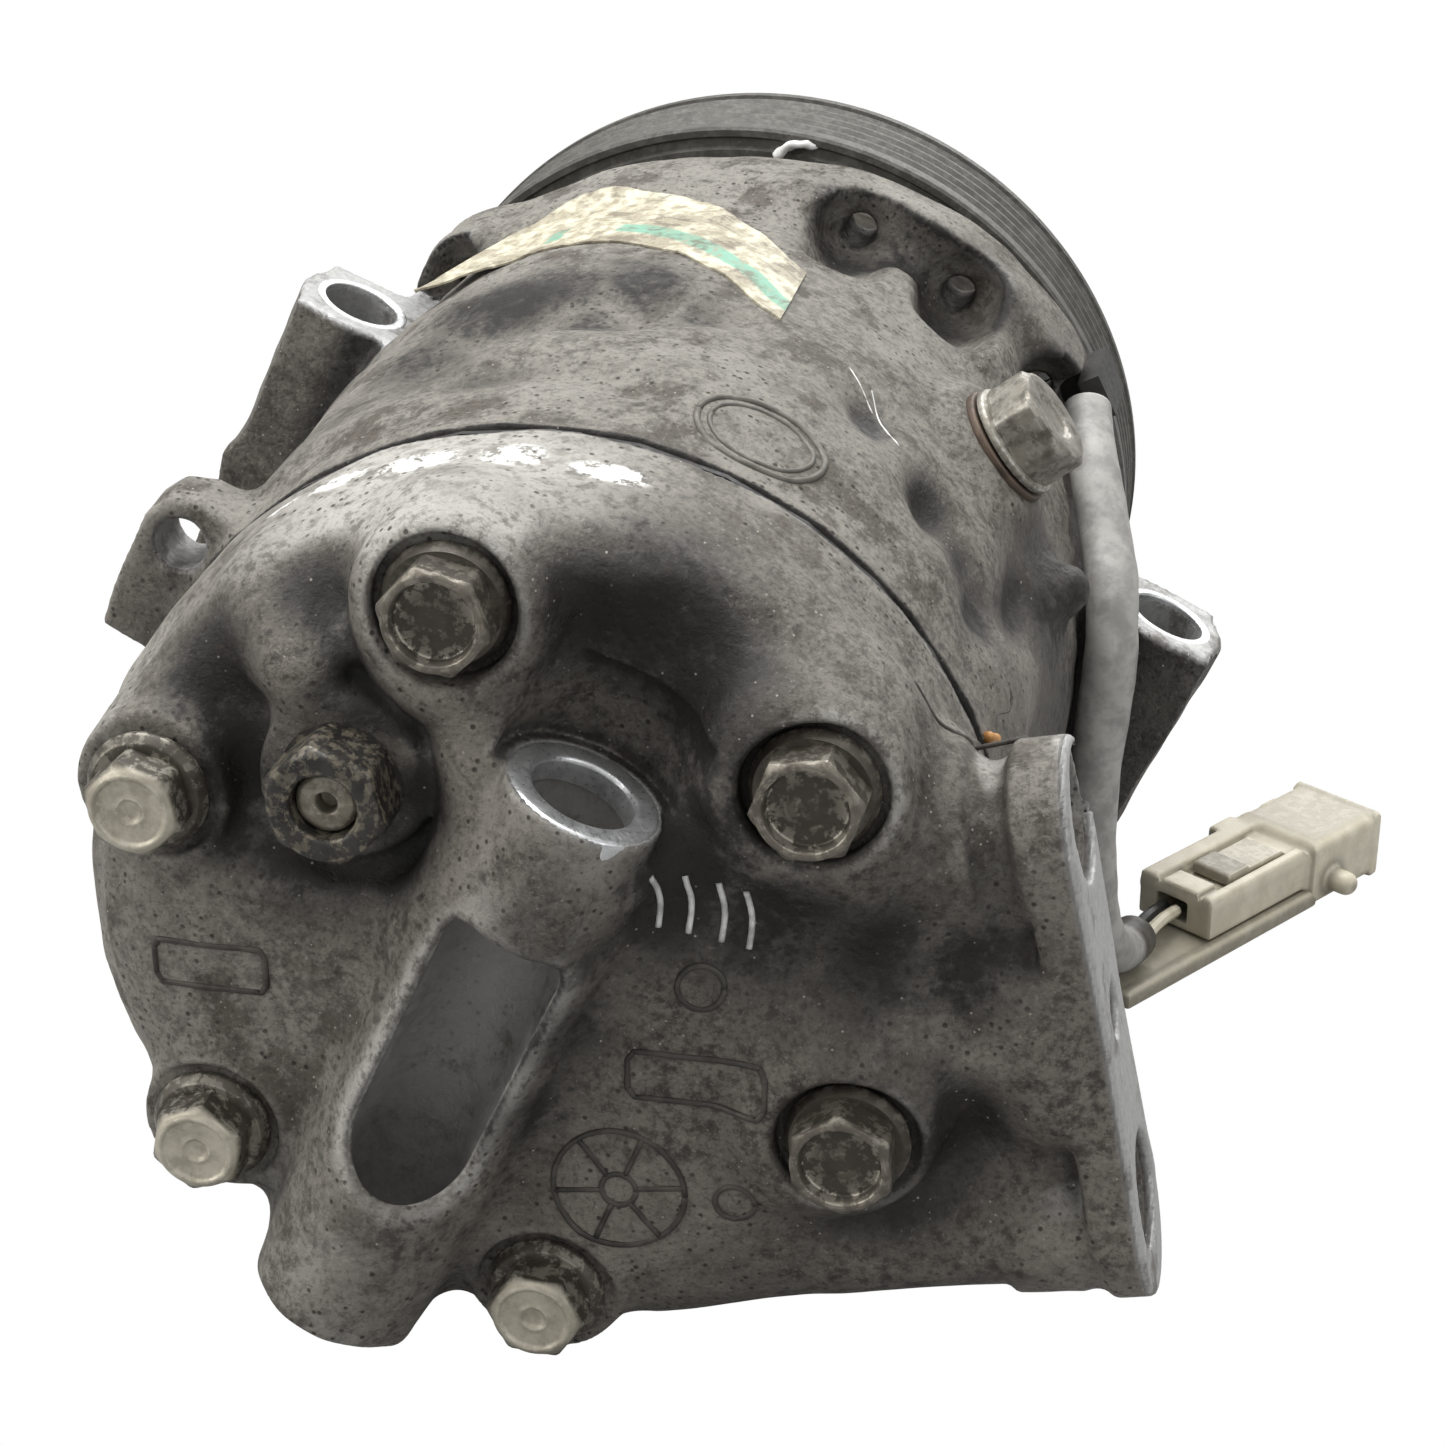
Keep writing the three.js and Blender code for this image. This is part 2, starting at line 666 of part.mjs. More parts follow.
// Belt pulley: grooved rim, friction face and a hub on the bearing.
function pulley() {
  const pitch = 3.56;
  const grooveStart = PULLEY_REAR_Y + 1.6;
  const rim = [
    [56.6, PULLEY_REAR_Y],
    [PULLEY_RADIUS, PULLEY_REAR_Y],
  ];
  for (let i = 0; i < GROOVES; i += 1) {
    const y = grooveStart + pitch * i;
    rim.push([PULLEY_RADIUS - 0.2, y], [PULLEY_RADIUS - 3, y + pitch / 2]);
  }
  rim.push([PULLEY_RADIUS - 0.2, grooveStart + pitch * GROOVES], [PULLEY_RADIUS, PULLEY_FRONT_Y]);
  const body = turned(
    [
      ...rim,
      [hole(27, 32), PULLEY_FRONT_Y],
      [hole(27, 32), 122],
      [31.2, 122],
      [31.2, 144],
      [56.6, 144],
    ],
    32,
  );
  return body;
}
place("pulley", pulley(), 0x55524d, 0.8, 0.5);
place("pulley_circlip", ring(24.5, 26.9, 140.6, 142, 28), 0x5b5e62);
place("armature_plate", ring(31, 55.5, 150.5, 154.5, 32), 0x6b665f, 0.85, 0.45);
const springHoles = [0, 120, 240].map((a) => axial(9, 34, a, 154, 158, 10));
place("hub_spring", cut(ring(16, 46, 155.3, 156.3, 24), springHoles), 0x7f8387);
const clutchHub = ring(7.2, 15.6, 147, 158.2, 24).add(ring(7.2, 22, 157, 159.4, 24));
place("clutch_hub", clutchHub, 0x6e6a64, 0.85, 0.45);
place("hub_nut", hexagon(13, polar(0, 0, 159.8), polar(0, 0, 165)), 0x8f8c70, 0.8, 0.4);

// ---------------------------------------------------------------- coil lead and connector
const clipOut = radial(26.4);
const clip = prism(
  [
    [55.4, 113.8],
    [63.4, 113.8],
    [63.4, 104.7],
    [66.8, 104.7],
    [66.8, 119],
    [55.4, 119],
  ],
  new THREE.Vector3().crossVectors(clipOut, Y).multiplyScalar(-3.4),
  clipOut,
  Y,
  6.8,
);
place("lead_grommet", clip, 0x1f1f1f, 0, 0.7);
place("lead_sleeve", tube(leadRoute, SLEEVE_RADIUS, 40), 0x6f6f6c, 0, 0.7);
const sleeveEnd = leadRoute[leadRoute.length - 1];
[-1.25, 1.25].forEach((offset, i) => {
  const end = connectorPoint(21.7, 9.5 - offset, 6.6);
  const direction = ALONG.clone();
  const start = sleeveEnd.clone().addScaledVector(direction, 1).addScaledVector(ASIDE, -offset);
  const middle = start.clone().lerp(end, 0.5).setZ(start.z + 0.3);
  place(`lead_wire_${i + 1}`, tube([start, middle, end], 1, 8), i ? 0xd8d2bd : 0x161616, 0, 0.6);
});
const plugBody = cut(
  union([
    connectorBox(22, 50, 1.5, 16, 3.2, 11),
    connectorBox(49.6, 66, 0, 16.5, 0, 12),
    connectorBox(51, 55, -4.5, 1, 2, 6.5),
    connectorBox(42, 48, 15.5, 18, 5, 11.5),
  ]),
  [
    connectorBox(52, 67, 3, 13.5, 3, 9.5),
    connectorBox(27, 45, 4, 12, 9, 12),
    connectorBox(20, 30, 6.5, 12.5, 4.8, 8.4),
  ],
);
place("connector_body", plugBody, 0xcfc8a8, 0, 0.55);
place("connector_rail", connectorBox(0, 49.3, 0, 12.5, 0, 2.9), 0xb9b193, 0, 0.6);
place("connector_lock", connectorBox(30, 44.6, 4.3, 11.7, 9.3, 11.4), 0xd8d2b6, 0, 0.5);

export default part;
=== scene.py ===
import json
import math

import bmesh
import bpy
import numpy as np
from mathutils import Matrix, Vector


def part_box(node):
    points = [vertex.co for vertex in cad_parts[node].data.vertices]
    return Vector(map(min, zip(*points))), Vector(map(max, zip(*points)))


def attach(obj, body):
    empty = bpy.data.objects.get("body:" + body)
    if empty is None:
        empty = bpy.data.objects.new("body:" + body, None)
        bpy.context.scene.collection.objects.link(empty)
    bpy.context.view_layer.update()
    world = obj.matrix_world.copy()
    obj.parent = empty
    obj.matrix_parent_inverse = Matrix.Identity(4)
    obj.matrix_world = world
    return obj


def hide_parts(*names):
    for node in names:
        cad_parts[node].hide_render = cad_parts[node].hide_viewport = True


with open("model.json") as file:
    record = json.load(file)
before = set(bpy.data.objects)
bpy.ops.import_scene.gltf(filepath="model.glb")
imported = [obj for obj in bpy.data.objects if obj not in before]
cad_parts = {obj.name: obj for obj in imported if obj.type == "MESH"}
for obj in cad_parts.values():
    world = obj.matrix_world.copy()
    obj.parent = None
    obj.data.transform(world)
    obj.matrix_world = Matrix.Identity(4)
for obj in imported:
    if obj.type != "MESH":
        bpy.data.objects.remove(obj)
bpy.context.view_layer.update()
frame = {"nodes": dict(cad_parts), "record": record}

# ------------------------------------------------------------------ frame
# Lengths below are in millimetres from the shaft axis at the head joint:
# +X towards the port flange, +Y towards the pulley, +Z up.
shaft_low, shaft_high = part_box("drive_shaft")
_, head_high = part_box("rear_head")
# Half the groove round the head joint, and the radius at which the groove ends.
JOINT_GAP, SEAL = 0.8, 55.4
SHIFT = np.array(
    [500 * (shaft_low.x + shaft_high.x), 1000 * head_high.y + JOINT_GAP, 500 * (shaft_low.z + shaft_high.z)]
)


def row(point):
    """Point in metres in the row frame."""
    return (np.asarray(point, float) + SHIFT) / 1000


def radial(degrees):
    a = math.radians(degrees)
    return np.array([math.cos(a), 0, math.sin(a)])


def polar(radius, degrees, y):
    return radial(degrees) * radius + np.array([0, y, 0])


CENTRE, Y = np.zeros(3), np.array([0.0, 1, 0])
MOUNT_UP, MOUNT_SIDE = radial(65.4), radial(-24.6)
PORT_OUT, PORT_UP = radial(11.75), radial(101.75)
BOLTS = [95.6 - 60 * i for i in range(6)]
BOLT_CIRCLE = 46.7
RELIEF = polar(29.4, 127.6, 0)
# The rear mounting bore crosses the shaft's line at this y, and its machined face is this far up.
REAR_Y, REAR_TOP = -33, 27.9
# The front mounting bores: across, y, and for each side how far up the machined face is.
BOSS_X, BOSS_Y, BOSSES = 64.3, 85.2, ((-1, 18.3), (1, 32.3))


def mount(across, y, up):
    return MOUNT_SIDE * across + MOUNT_UP * up + np.array([0, y, 0])


def port(out, y, up):
    return PORT_OUT * out + PORT_UP * up + np.array([0, y, 0])


# ------------------------------------------------------------------ camera
camera = bpy.data.objects.new("camera", bpy.data.cameras.new("camera"))
bpy.context.scene.collection.objects.link(camera)
camera.data.sensor_width = 36
camera.data.lens = 75.61
camera.data.clip_start = 0.01
camera.data.clip_end = 20
right = Vector((0.9809, 0.1943, 0.0)).normalized()
up = Vector((-0.0827, 0.4178, 0.9048)).normalized()
back = right.cross(up)
turn = Matrix((right, up, back)).transposed().to_4x4()
camera.matrix_world = Matrix.Translation(Vector(row([87.56, -335.09, 180.61]))) @ turn
bpy.context.scene.camera = camera


# ------------------------------------------------------------------ materials
class Value:
    """Output of a shader node. Arithmetic on it adds maths nodes to its tree."""

    def __init__(self, socket):
        self.socket = socket

    def maths(self, kind, other=0.0):
        node = self.socket.id_data.nodes.new("ShaderNodeMath")
        node.operation = kind
        feed(node.inputs[0], self)
        feed(node.inputs[1], other)
        return Value(node.outputs[0])

    def __add__(self, other):
        return self.maths("ADD", other)

    def __sub__(self, other):
        return self.maths("SUBTRACT", other)

    def __mul__(self, other):
        return self.maths("MULTIPLY", other)

    def ramp(self, low, high, to_low=0.0, to_high=1.0):
        """Smooth step from to_low at low to to_high at high."""
        node = self.socket.id_data.nodes.new("ShaderNodeMapRange")
        node.interpolation_type = "SMOOTHSTEP"
        feed(node.inputs["Value"], self)
        for name, value in (("From Min", low), ("From Max", high), ("To Min", to_low), ("To Max", to_high)):
            node.inputs[name].default_value = value
        return Value(node.outputs["Result"])

    def blend(self, a, b):
        """Colour a where this value is 0 and b where it is 1."""
        node = self.socket.id_data.nodes.new("ShaderNodeMix")
        node.data_type = "RGBA"
        feed(node.inputs["Factor"], self)
        feed(node.inputs[6], a)
        feed(node.inputs[7], b)
        return Value(node.outputs[2])


def feed(socket, value):
    """Puts a number, a colour or another node's output into a socket."""
    if isinstance(value, Value):
        socket.id_data.links.new(value.socket, socket)
    elif isinstance(value, tuple) and socket.type == "RGBA":
        socket.default_value = (*value, 1)
    else:
        socket.default_value = value


def shader(name):
    material = bpy.data.materials.new(name)
    material.use_nodes = True
    tree = material.node_tree
    tree.nodes.clear()
    out = tree.nodes.new("ShaderNodeOutputMaterial")
    surface = tree.nodes.new("ShaderNodeBsdfPrincipled")
    tree.links.new(surface.outputs[0], out.inputs[0])
    return material, tree, surface


def attribute(tree, name):
    node = tree.nodes.new("ShaderNodeAttribute")
    node.attribute_name = name
    return Value(node.outputs["Fac"])


def texture(tree, kind, scale):
    node = tree.nodes.new(kind)
    feed(node.inputs["Vector"], Value(tree.nodes.new("ShaderNodeTexCoord").outputs["Object"]))
    node.inputs["Scale"].default_value = scale
    return node


def noise(tree, scale, detail, roughness):
    node = texture(tree, "ShaderNodeTexNoise", scale)
    node.inputs["Detail"].default_value = detail
    node.inputs["Roughness"].default_value = roughness
    return Value(node.outputs["Fac"])


def cells(tree, scale):
    return Value(texture(tree, "ShaderNodeTexVoronoi", scale).outputs["Distance"])


def bump(surface, heights):
    """Chains bumps of (height, strength, distance in metres)."""
    normal = None
    for height, strength, distance in heights:
        node = surface.id_data.nodes.new("ShaderNodeBump")
        node.inputs["Strength"].default_value = strength
        node.inputs["Distance"].default_value = distance
        feed(node.inputs["Height"], height)
        if normal is not None:
            feed(node.inputs["Normal"], normal)
        normal = Value(node.outputs[0])
    feed(surface.inputs["Normal"], normal)


GRIME = (0.012, 0.0105, 0.009)


def cast_metal():
    """Old cast aluminium: grey-brown skin, oily soot and painted shade in the hollows, rubbed bright on the
    edges with a painted highlight on the head's upper rim, and painted glints in the grain.
    """
    material, tree, surface = shader("cast_aluminium")
    names = ("soot_and_shade", "edge", "hollow", "machined", "dust_and_painted_light", "paint")
    soot_and_shade, edge, hollow, machined, dust_and_painted_light, paint = (attribute(tree, name) for name in names)
    broad, stain = noise(tree, 38, 6, 0.66), noise(tree, 105, 8, 0.72)
    mottled, grain = noise(tree, 480, 9, 0.74), noise(tree, 1250, 5, 0.72)
    pits = cells(tree, 560)
    skin = mottled.ramp(0.38, 0.6).blend((0.052, 0.046, 0.039), (0.19, 0.174, 0.15))
    skin = broad.ramp(0.44, 0.62, 0, 0.75).blend(skin, (0.25, 0.23, 0.2))
    dusty = mottled.ramp(0.38, 0.6).blend((0.12, 0.112, 0.098), (0.25, 0.238, 0.21))
    dusty = broad.ramp(0.46, 0.6, 0, 0.6).blend(dusty, (0.28, 0.268, 0.24))
    dusty = stain.ramp(0.5, 0.6, 0, 0.72).blend(dusty, (0.06, 0.052, 0.042))
    skin = dust_and_painted_light.blend(skin, dusty)
    skin = grain.ramp(0.5, 0.66, 0, 0.55).blend(skin, (0.034, 0.03, 0.026))
    # Bright specks in the grain: painted glints.
    skin = grain.ramp(0.44, 0.34, 0, 0.4).blend(skin, (0.3, 0.285, 0.255))
    # Bright rubbed edges: wear, plus the painted highlight along the top of the head's rim that the edge
    # attribute carries.
    rub_and_highlight = edge.ramp(0.3, 0.85) * mottled.ramp(0.4, 0.56, 0.25, 1)
    skin = (rub_and_highlight * 0.88).blend(skin, (0.44, 0.43, 0.4))
    # Near-black: painted shade in the hollows and at the soot marks, mixed with random grime and oily soot.
    darkening = hollow * 0.7 + soot_and_shade * 0.95 + (mottled - 0.5) * 1.9 + (stain - 0.5) * 0.8
    darkening = darkening.ramp(0.12, 0.98)
    skin = (darkening * 0.96).blend(skin, (0.009, 0.0082, 0.0074))
    rust = stain.ramp(0.55, 0.68) * mottled.ramp(0.42, 0.58)
    skin = (rust * 0.28).blend(skin, (0.105, 0.075, 0.05))
    flecks = pits.ramp(0.24, 0.12) * broad.ramp(0.42, 0.54)
    skin = (flecks * 0.8).blend(skin, (0.017, 0.014, 0.011))
    pale = cells(tree, 640).ramp(0.13, 0.07) * stain.ramp(0.5, 0.58)
    skin = (pale * 0.8).blend(skin, (0.38, 0.355, 0.31))
    cut_face = grain.ramp(0.3, 0.7).blend((0.34, 0.34, 0.335), (0.47, 0.47, 0.465))
    cut_face = stain.ramp(0.52, 0.64, 0, 0.8).blend(cut_face, (0.12, 0.11, 0.095))
    skin = machined.blend(skin, cut_face)
    worn_paint = (paint * mottled.ramp(0.38, 0.54, 0.2, 1)).ramp(0.24, 0.5, 0, 0.9)
    feed(surface.inputs["Base Color"], worn_paint.blend(skin, (0.7, 0.7, 0.68)))
    metal = darkening.ramp(0, 1, 0.5, 0.1) * worn_paint.ramp(0, 1, 1, 0) * dust_and_painted_light.ramp(0, 1, 1, 0.45)
    feed(surface.inputs["Metallic"], metal.maths("MAXIMUM", machined * 0.6))
    rough = mottled.ramp(0.36, 0.62, 0.4, 0.64) + dust_and_painted_light * 0.14 - machined * 0.04 - soot_and_shade * 0.08
    feed(surface.inputs["Roughness"], rough)
    feed(surface.inputs["Specular IOR Level"], dust_and_painted_light.ramp(0, 1, 0.5, 0.22) * soot_and_shade.ramp(0.3, 1, 1, 0.6))
    uncut = machined.ramp(0, 1, 1, 0.08)
    heights = [(stain * uncut, 0.35, 0.0014), (mottled * uncut, 0.6, 0.0008)]
    heights += [(grain * uncut, 0.6, 0.00028), (pits.ramp(0, 0.25) * uncut, 0.35, 0.0003)]
    bump(surface, heights)
    return material


def plain_metal(name, low, high, metallic, rough, darkening, stain=GRIME, wear_and_highlight=None, scale=300):
    """Mottled, stained surface. A worn colour adds chipped edges, and a dark colour where the mesh's shade
    attribute is set: painted shade on the bolt heads and the connector, the black boot at the end of the lead
    sleeve.
    """
    material, tree, surface = shader(name)
    mottled, grain = noise(tree, scale, 6, 0.62), noise(tree, 1500, 3, 0.6)
    colour = mottled.ramp(0.35, 0.66).blend(low, high)
    grime_and_shade = noise(tree, scale * 0.5, 7, 0.7).ramp(0.58 - 0.2 * darkening, 0.78 - 0.1 * darkening)
    grime_and_shade = grime_and_shade * min(0.85, darkening * 1.3)
    if wear_and_highlight is None:
        colour = grime_and_shade.blend(colour, stain)
    else:
        # The shade attribute lays a dark colour: painted shade on bolt heads and connector, the black boot on
        # the sleeve's end.
        shade = attribute(tree, "shade")
        grime_and_shade = grime_and_shade * shade.ramp(0, 1, 1, 0.3)
        colour = grime_and_shade.blend(colour, stain)
        colour = (shade * mottled.ramp(0.3, 0.55, 0.84, 1)).blend(colour, (0.042, 0.036, 0.028))
        colour = (attribute(tree, "edge") * noise(tree, 520, 5, 0.7).ramp(0.48, 0.57)).blend(colour, wear_and_highlight)
    feed(surface.inputs["Base Color"], colour)
    feed(surface.inputs["Metallic"], grime_and_shade.ramp(0, 1, 1, 0.2) * metallic)
    feed(surface.inputs["Roughness"], grain.ramp(0.3, 0.7, rough - 0.06, rough + 0.1))
    bump(surface, [(mottled, 0.25, 0.0003), (grain, 0.3, 0.00012)])
    return material


def label_print():
    """Torn paper label: cream, with a plain green band, faint rules and dirt."""
    material, tree, surface = shader("label_paper")
    along, across = attribute(tree, "along"), attribute(tree, "across")
    mottled, smear = noise(tree, 420, 6, 0.68), noise(tree, 130, 5, 0.65)
    paper = mottled.ramp(0.36, 0.62).blend((0.26, 0.23, 0.16), (0.56, 0.53, 0.41))
    low = across.ramp(0.16, 0.2) * across.ramp(0.4, 0.36)
    short = low * (along.ramp(0.27, 0.28) * along.ramp(0.34, 0.33))
    band = (low * along.ramp(0.5, 0.52)).maths("MAXIMUM", short) * mottled.ramp(0.34, 0.48)
    paper = (band * 0.85).blend(paper, (0.12, 0.34, 0.25))
    rules = (across * 44.0).maths("SINE").ramp(0.82, 0.95) * smear.ramp(0.45, 0.6) * across.ramp(0.42, 0.48)
    paper = (rules * 0.6).blend(paper, (0.09, 0.08, 0.065))
    darkening = smear.ramp(0.46, 0.6) * mottled.ramp(0.42, 0.54)
    feed(surface.inputs["Base Color"], (darkening * 0.85).blend(paper, (0.11, 0.085, 0.055)))
    surface.inputs["Roughness"].default_value = 0.55
    bump(surface, [(mottled, 0.3, 0.0003)])
    return material


# ------------------------------------------------------------------ castings
# A casting is a field of distances on a grid, below zero in the metal, joined and cut with soft fillets.
CUBE = np.array([[x, y, z] for x in (0, 1) for y in (0, 1) for z in (0, 1)])


def smooth_min(a, b, k):
    if k <= 0:
        return np.minimum(a, b)
    h = np.maximum(k - np.abs(a - b), 0) / k
    return np.minimum(a, b) - h * h * (k * 0.25)


def smooth_max(a, b, k):
    return -smooth_min(-a, -b, k)


def rod_distance(p, a, b, r, rounding):
    length = float(np.linalg.norm(b - a))
    d = (b - a) / length
    v = [p[i] - np.float32(a[i]) for i in range(3)]
    t = v[0] * np.float32(d[0]) + v[1] * np.float32(d[1]) + v[2] * np.float32(d[2])
    perp = np.sqrt(np.maximum(v[0] ** 2 + v[1] ** 2 + v[2] ** 2 - t * t, 0))
    q1 = perp - (r - rounding)
    q2 = np.abs(t - length / 2) - (length / 2 - rounding)
    return np.minimum(np.maximum(q1, q2), 0) + np.hypot(np.maximum(q1, 0), np.maximum(q2, 0)) - rounding


def capsule_distance(p, a, b, r):
    d = b - a
    v = [p[i] - np.float32(a[i]) for i in range(3)]
    t = np.clip((v[0] * d[0] + v[1] * d[1] + v[2] * d[2]) / float(d @ d), 0, 1)
    return np.sqrt(sum((v[i] - t * d[i]) ** 2 for i in range(3))) - r


def outline_distance(u, v, points):
    """Signed distance in a plane to a closed outline."""
    best = None
    inside = np.zeros(np.broadcast(u, v).shape, bool)
    count = len(points)
    for i in range(count):
        (ax, ay), (bx, by) = points[i - 1], points[i]
        ex, ey = bx - ax, by - ay
        wx, wy = u - ax, v - ay
        t = np.clip((wx * ex + wy * ey) / (ex * ex + ey * ey), 0, 1)
        d = (wx - ex * t) ** 2 + (wy - ey * t) ** 2
        best = d if best is None else np.minimum(best, d)
        crosses = (ay > v) != (by > v)
        side = (bx - ax) * (v - ay) / (by - ay if by != ay else 1e-9) + ax
        inside ^= crosses & (u < side)
    return np.sqrt(best) * np.where(inside, -1, 1)


def prism_distance(p, outline, origin, u, v, low, high, rounding):
    w = np.cross(u, v)
    q = [p[i] - np.float32(origin[i]) for i in range(3)]
    a = q[0] * u[0] + q[1] * u[1] + q[2] * u[2]
    b = q[0] * v[0] + q[1] * v[1] + q[2] * v[2]
    c = q[0] * w[0] + q[1] * w[1] + q[2] * w[2]
    d1 = outline_distance(a, b, outline) + rounding
    d2 = np.abs(c - (low + high) / 2) - ((high - low) / 2 - rounding)
    return np.minimum(np.maximum(d1, d2), 0) + np.hypot(np.maximum(d1, 0), np.maximum(d2, 0)) - rounding


class Casting:
    """Grid of distances to a solid; k is the size of the soft fillet where a shape joins or cuts."""

    def __init__(self, low, high, step):
        self.low, self.step = np.array(low, float), step
        self.axis = [np.arange(low[i], high[i] + step, step, dtype=np.float32) for i in range(3)]
        self.field = np.full([len(a) for a in self.axis], 60, np.float32)

    def spread(self, cuts=(slice(None),) * 3):
        """Grid coordinates, each along its own axis."""
        shape = ((-1, 1, 1), (1, -1, 1), (1, 1, -1))
        return [self.axis[i][cuts[i]].reshape(shape[i]) for i in range(3)]

    def part(self, low, high, pad):
        cuts = []
        for i in range(3):
            first = int(np.searchsorted(self.axis[i], low[i] - pad))
            last = int(np.searchsorted(self.axis[i], high[i] + pad))
            cuts.append(slice(max(first, 0), max(last, first + 1)))
        return tuple(cuts), self.spread(cuts)

    def shape(self, distance, corners, pad, k, remove):
        """Joins or cuts away a solid, in the part of the grid that it can reach."""
        cuts, p = self.part(np.min(corners, 0) - pad, np.max(corners, 0) + pad, k + 3)
        if self.field[cuts].size:
            d = distance(p).astype(np.float32)
            act = smooth_max if remove else smooth_min
            self.field[cuts] = act(self.field[cuts], -d if remove else d, k)

    def rod(self, a, b, r, k=0.0, rounding=0.0, remove=False):
        a, b = np.asarray(a, float), np.asarray(b, float)
        self.shape(lambda p: rod_distance(p, a, b, r, rounding), (a, b), r, k, remove)

    def capsule(self, a, b, r, k=0.0, remove=False):
        a, b = np.asarray(a, float), np.asarray(b, float)
        self.shape(lambda p: capsule_distance(p, a, b, r), (a, b), r, k, remove)

    def prism(self, outline, origin, u, v, low, high, k=0.0, rounding=0.0, remove=False):
        w = np.cross(u, v)
        corners = [origin + u * a + v * b + w * c for a, b in outline for c in (low, high)]
        self.shape(
            lambda p: prism_distance(p, outline, origin, u, v, low, high, rounding), corners, 0, k, remove
        )

    def revolve(self, outline, dents=(), k=0.0, remove=False):
        """Turned body about the shaft; each dent is (angle, y, half angle, half length, depth)."""
        x, y, z = self.spread()
        fine = np.arange(0, 100, 0.1)
        table = outline_distance(fine[:, None], y.reshape(1, -1).astype(float), outline).astype(np.float32)
        r = np.broadcast_to(np.hypot(x, z), self.field.shape)
        if dents:
            angle = np.degrees(np.arctan2(z, x))
            for a, y0, da, dy, depth in dents:
                gap = (angle - a + 180) % 360 - 180
                r = r + depth * np.exp(-((gap / da) ** 2)) * np.exp(-(((y - y0) / dy) ** 2))
        slot = np.clip(r * 10, 0, len(fine) - 2)
        index = slot.astype(np.int32)
        share = slot - index
        column = np.arange(len(self.axis[1])).reshape(1, -1, 1)
        d = table[index, column] * (1 - share) + table[index + 1, column] * share
        act = smooth_max if remove else smooth_min
        self.field = act(self.field, (-d if remove else d).astype(np.float32), k)

    def roughen(self, seed, waves, size):
        """Slow unevenness of the sand mould: waves are (wavelength, height)."""
        rng = np.random.default_rng(seed)
        x, y, z = self.spread()
        for wavelength, height in waves:
            for _ in range(size):
                d = rng.normal(size=3)
                d = d / np.linalg.norm(d) * (2 * math.pi / (wavelength * rng.uniform(0.7, 1.4)))
                phase = rng.uniform(0, 2 * math.pi)
                d, phase = d.astype(np.float32), np.float32(phase)
                wave = np.sin((x * d[0] + y * d[1]) + (z * d[2] + phase))
                self.field += np.float32(height) * wave.astype(np.float32)

    def sample(self, points):
        """Field values at points, by linear interpolation."""
        q = (points - self.low) / self.step
        top = np.array(self.field.shape) - 1.001
        q = np.clip(q, 0, top)
        i = q.astype(np.int64)
        f = q - i
        total = np.zeros(len(points))
        for corner in CUBE:
            w = [f[:, axis] if corner[axis] else 1 - f[:, axis] for axis in range(3)]
            total += w[0] * w[1] * w[2] * self.field[tuple((i + corner).T)]
        return total

    def slope(self, points):
        e = self.step * 0.75
        g = np.stack([self.sample(points + d) - self.sample(points - d) for d in np.eye(3) * e], 1)
        return g / (2 * e)

    def surface(self):
        """Corners and four-sided faces of the zero surface."""
        f = self.field
        n = np.array(f.shape) - 1
        inside = f < 0
        count = np.zeros(n, np.int8)
        for x, y, z in CUBE:
            count += inside[x : n[0] + x, y : n[1] + y, z : n[2] + z]
        cell = np.argwhere((count > 0) & (count < 8))
        where = np.full(n, -1, np.int64)
        where[tuple(cell.T)] = np.arange(len(cell))
        value = np.stack([f[tuple((cell + c).T)] for c in CUBE], 1)
        total = np.zeros((len(cell), 3))
        hits = np.zeros(len(cell))
        for i in range(8):
            for j in range(i + 1, 8):
                if np.abs(CUBE[i] - CUBE[j]).sum() != 1:
                    continue
                a, b = value[:, i], value[:, j]
                crossed = (a < 0) != (b < 0)
                t = np.where(crossed, a / np.where(a == b, 1, a - b), 0)[:, None]
                total += crossed[:, None] * (CUBE[i] + (CUBE[j] - CUBE[i]) * t)
                hits += crossed
        points = self.low + (cell + total / hits[:, None]) * self.step
        faces = []
        for axis in range(3):
            u, v = (axis + 1) % 3, (axis + 2) % 3
            first = inside[tuple(slice(0, -1) if i == axis else slice(None) for i in range(3))]
            second = inside[tuple(slice(1, None) if i == axis else slice(None) for i in range(3))]
            edge = np.argwhere(first != second)
            keep = (edge[:, u] > 0) & (edge[:, v] > 0) & (edge[:, u] < n[u]) & (edge[:, v] < n[v])
            edge = edge[keep]
            flip = ~first[tuple(edge.T)]
            ring = []
            for du, dv in ((-1, -1), (0, -1), (0, 0), (-1, 0)):
                at = edge.copy()
                at[:, u] += du
                at[:, v] += dv
                ring.append(where[tuple(at.T)])
            quad = np.stack(ring, 1)
            quad[flip] = quad[flip][:, ::-1]
            faces.append(quad)
        for _ in range(2):
            g = self.slope(points)
            size = np.maximum((g * g).sum(1), 0.05)
            move = g * (self.sample(points) / size)[:, None]
            points = points - np.clip(move, -0.5 * self.step, 0.5 * self.step)
        return points, np.concatenate(faces)


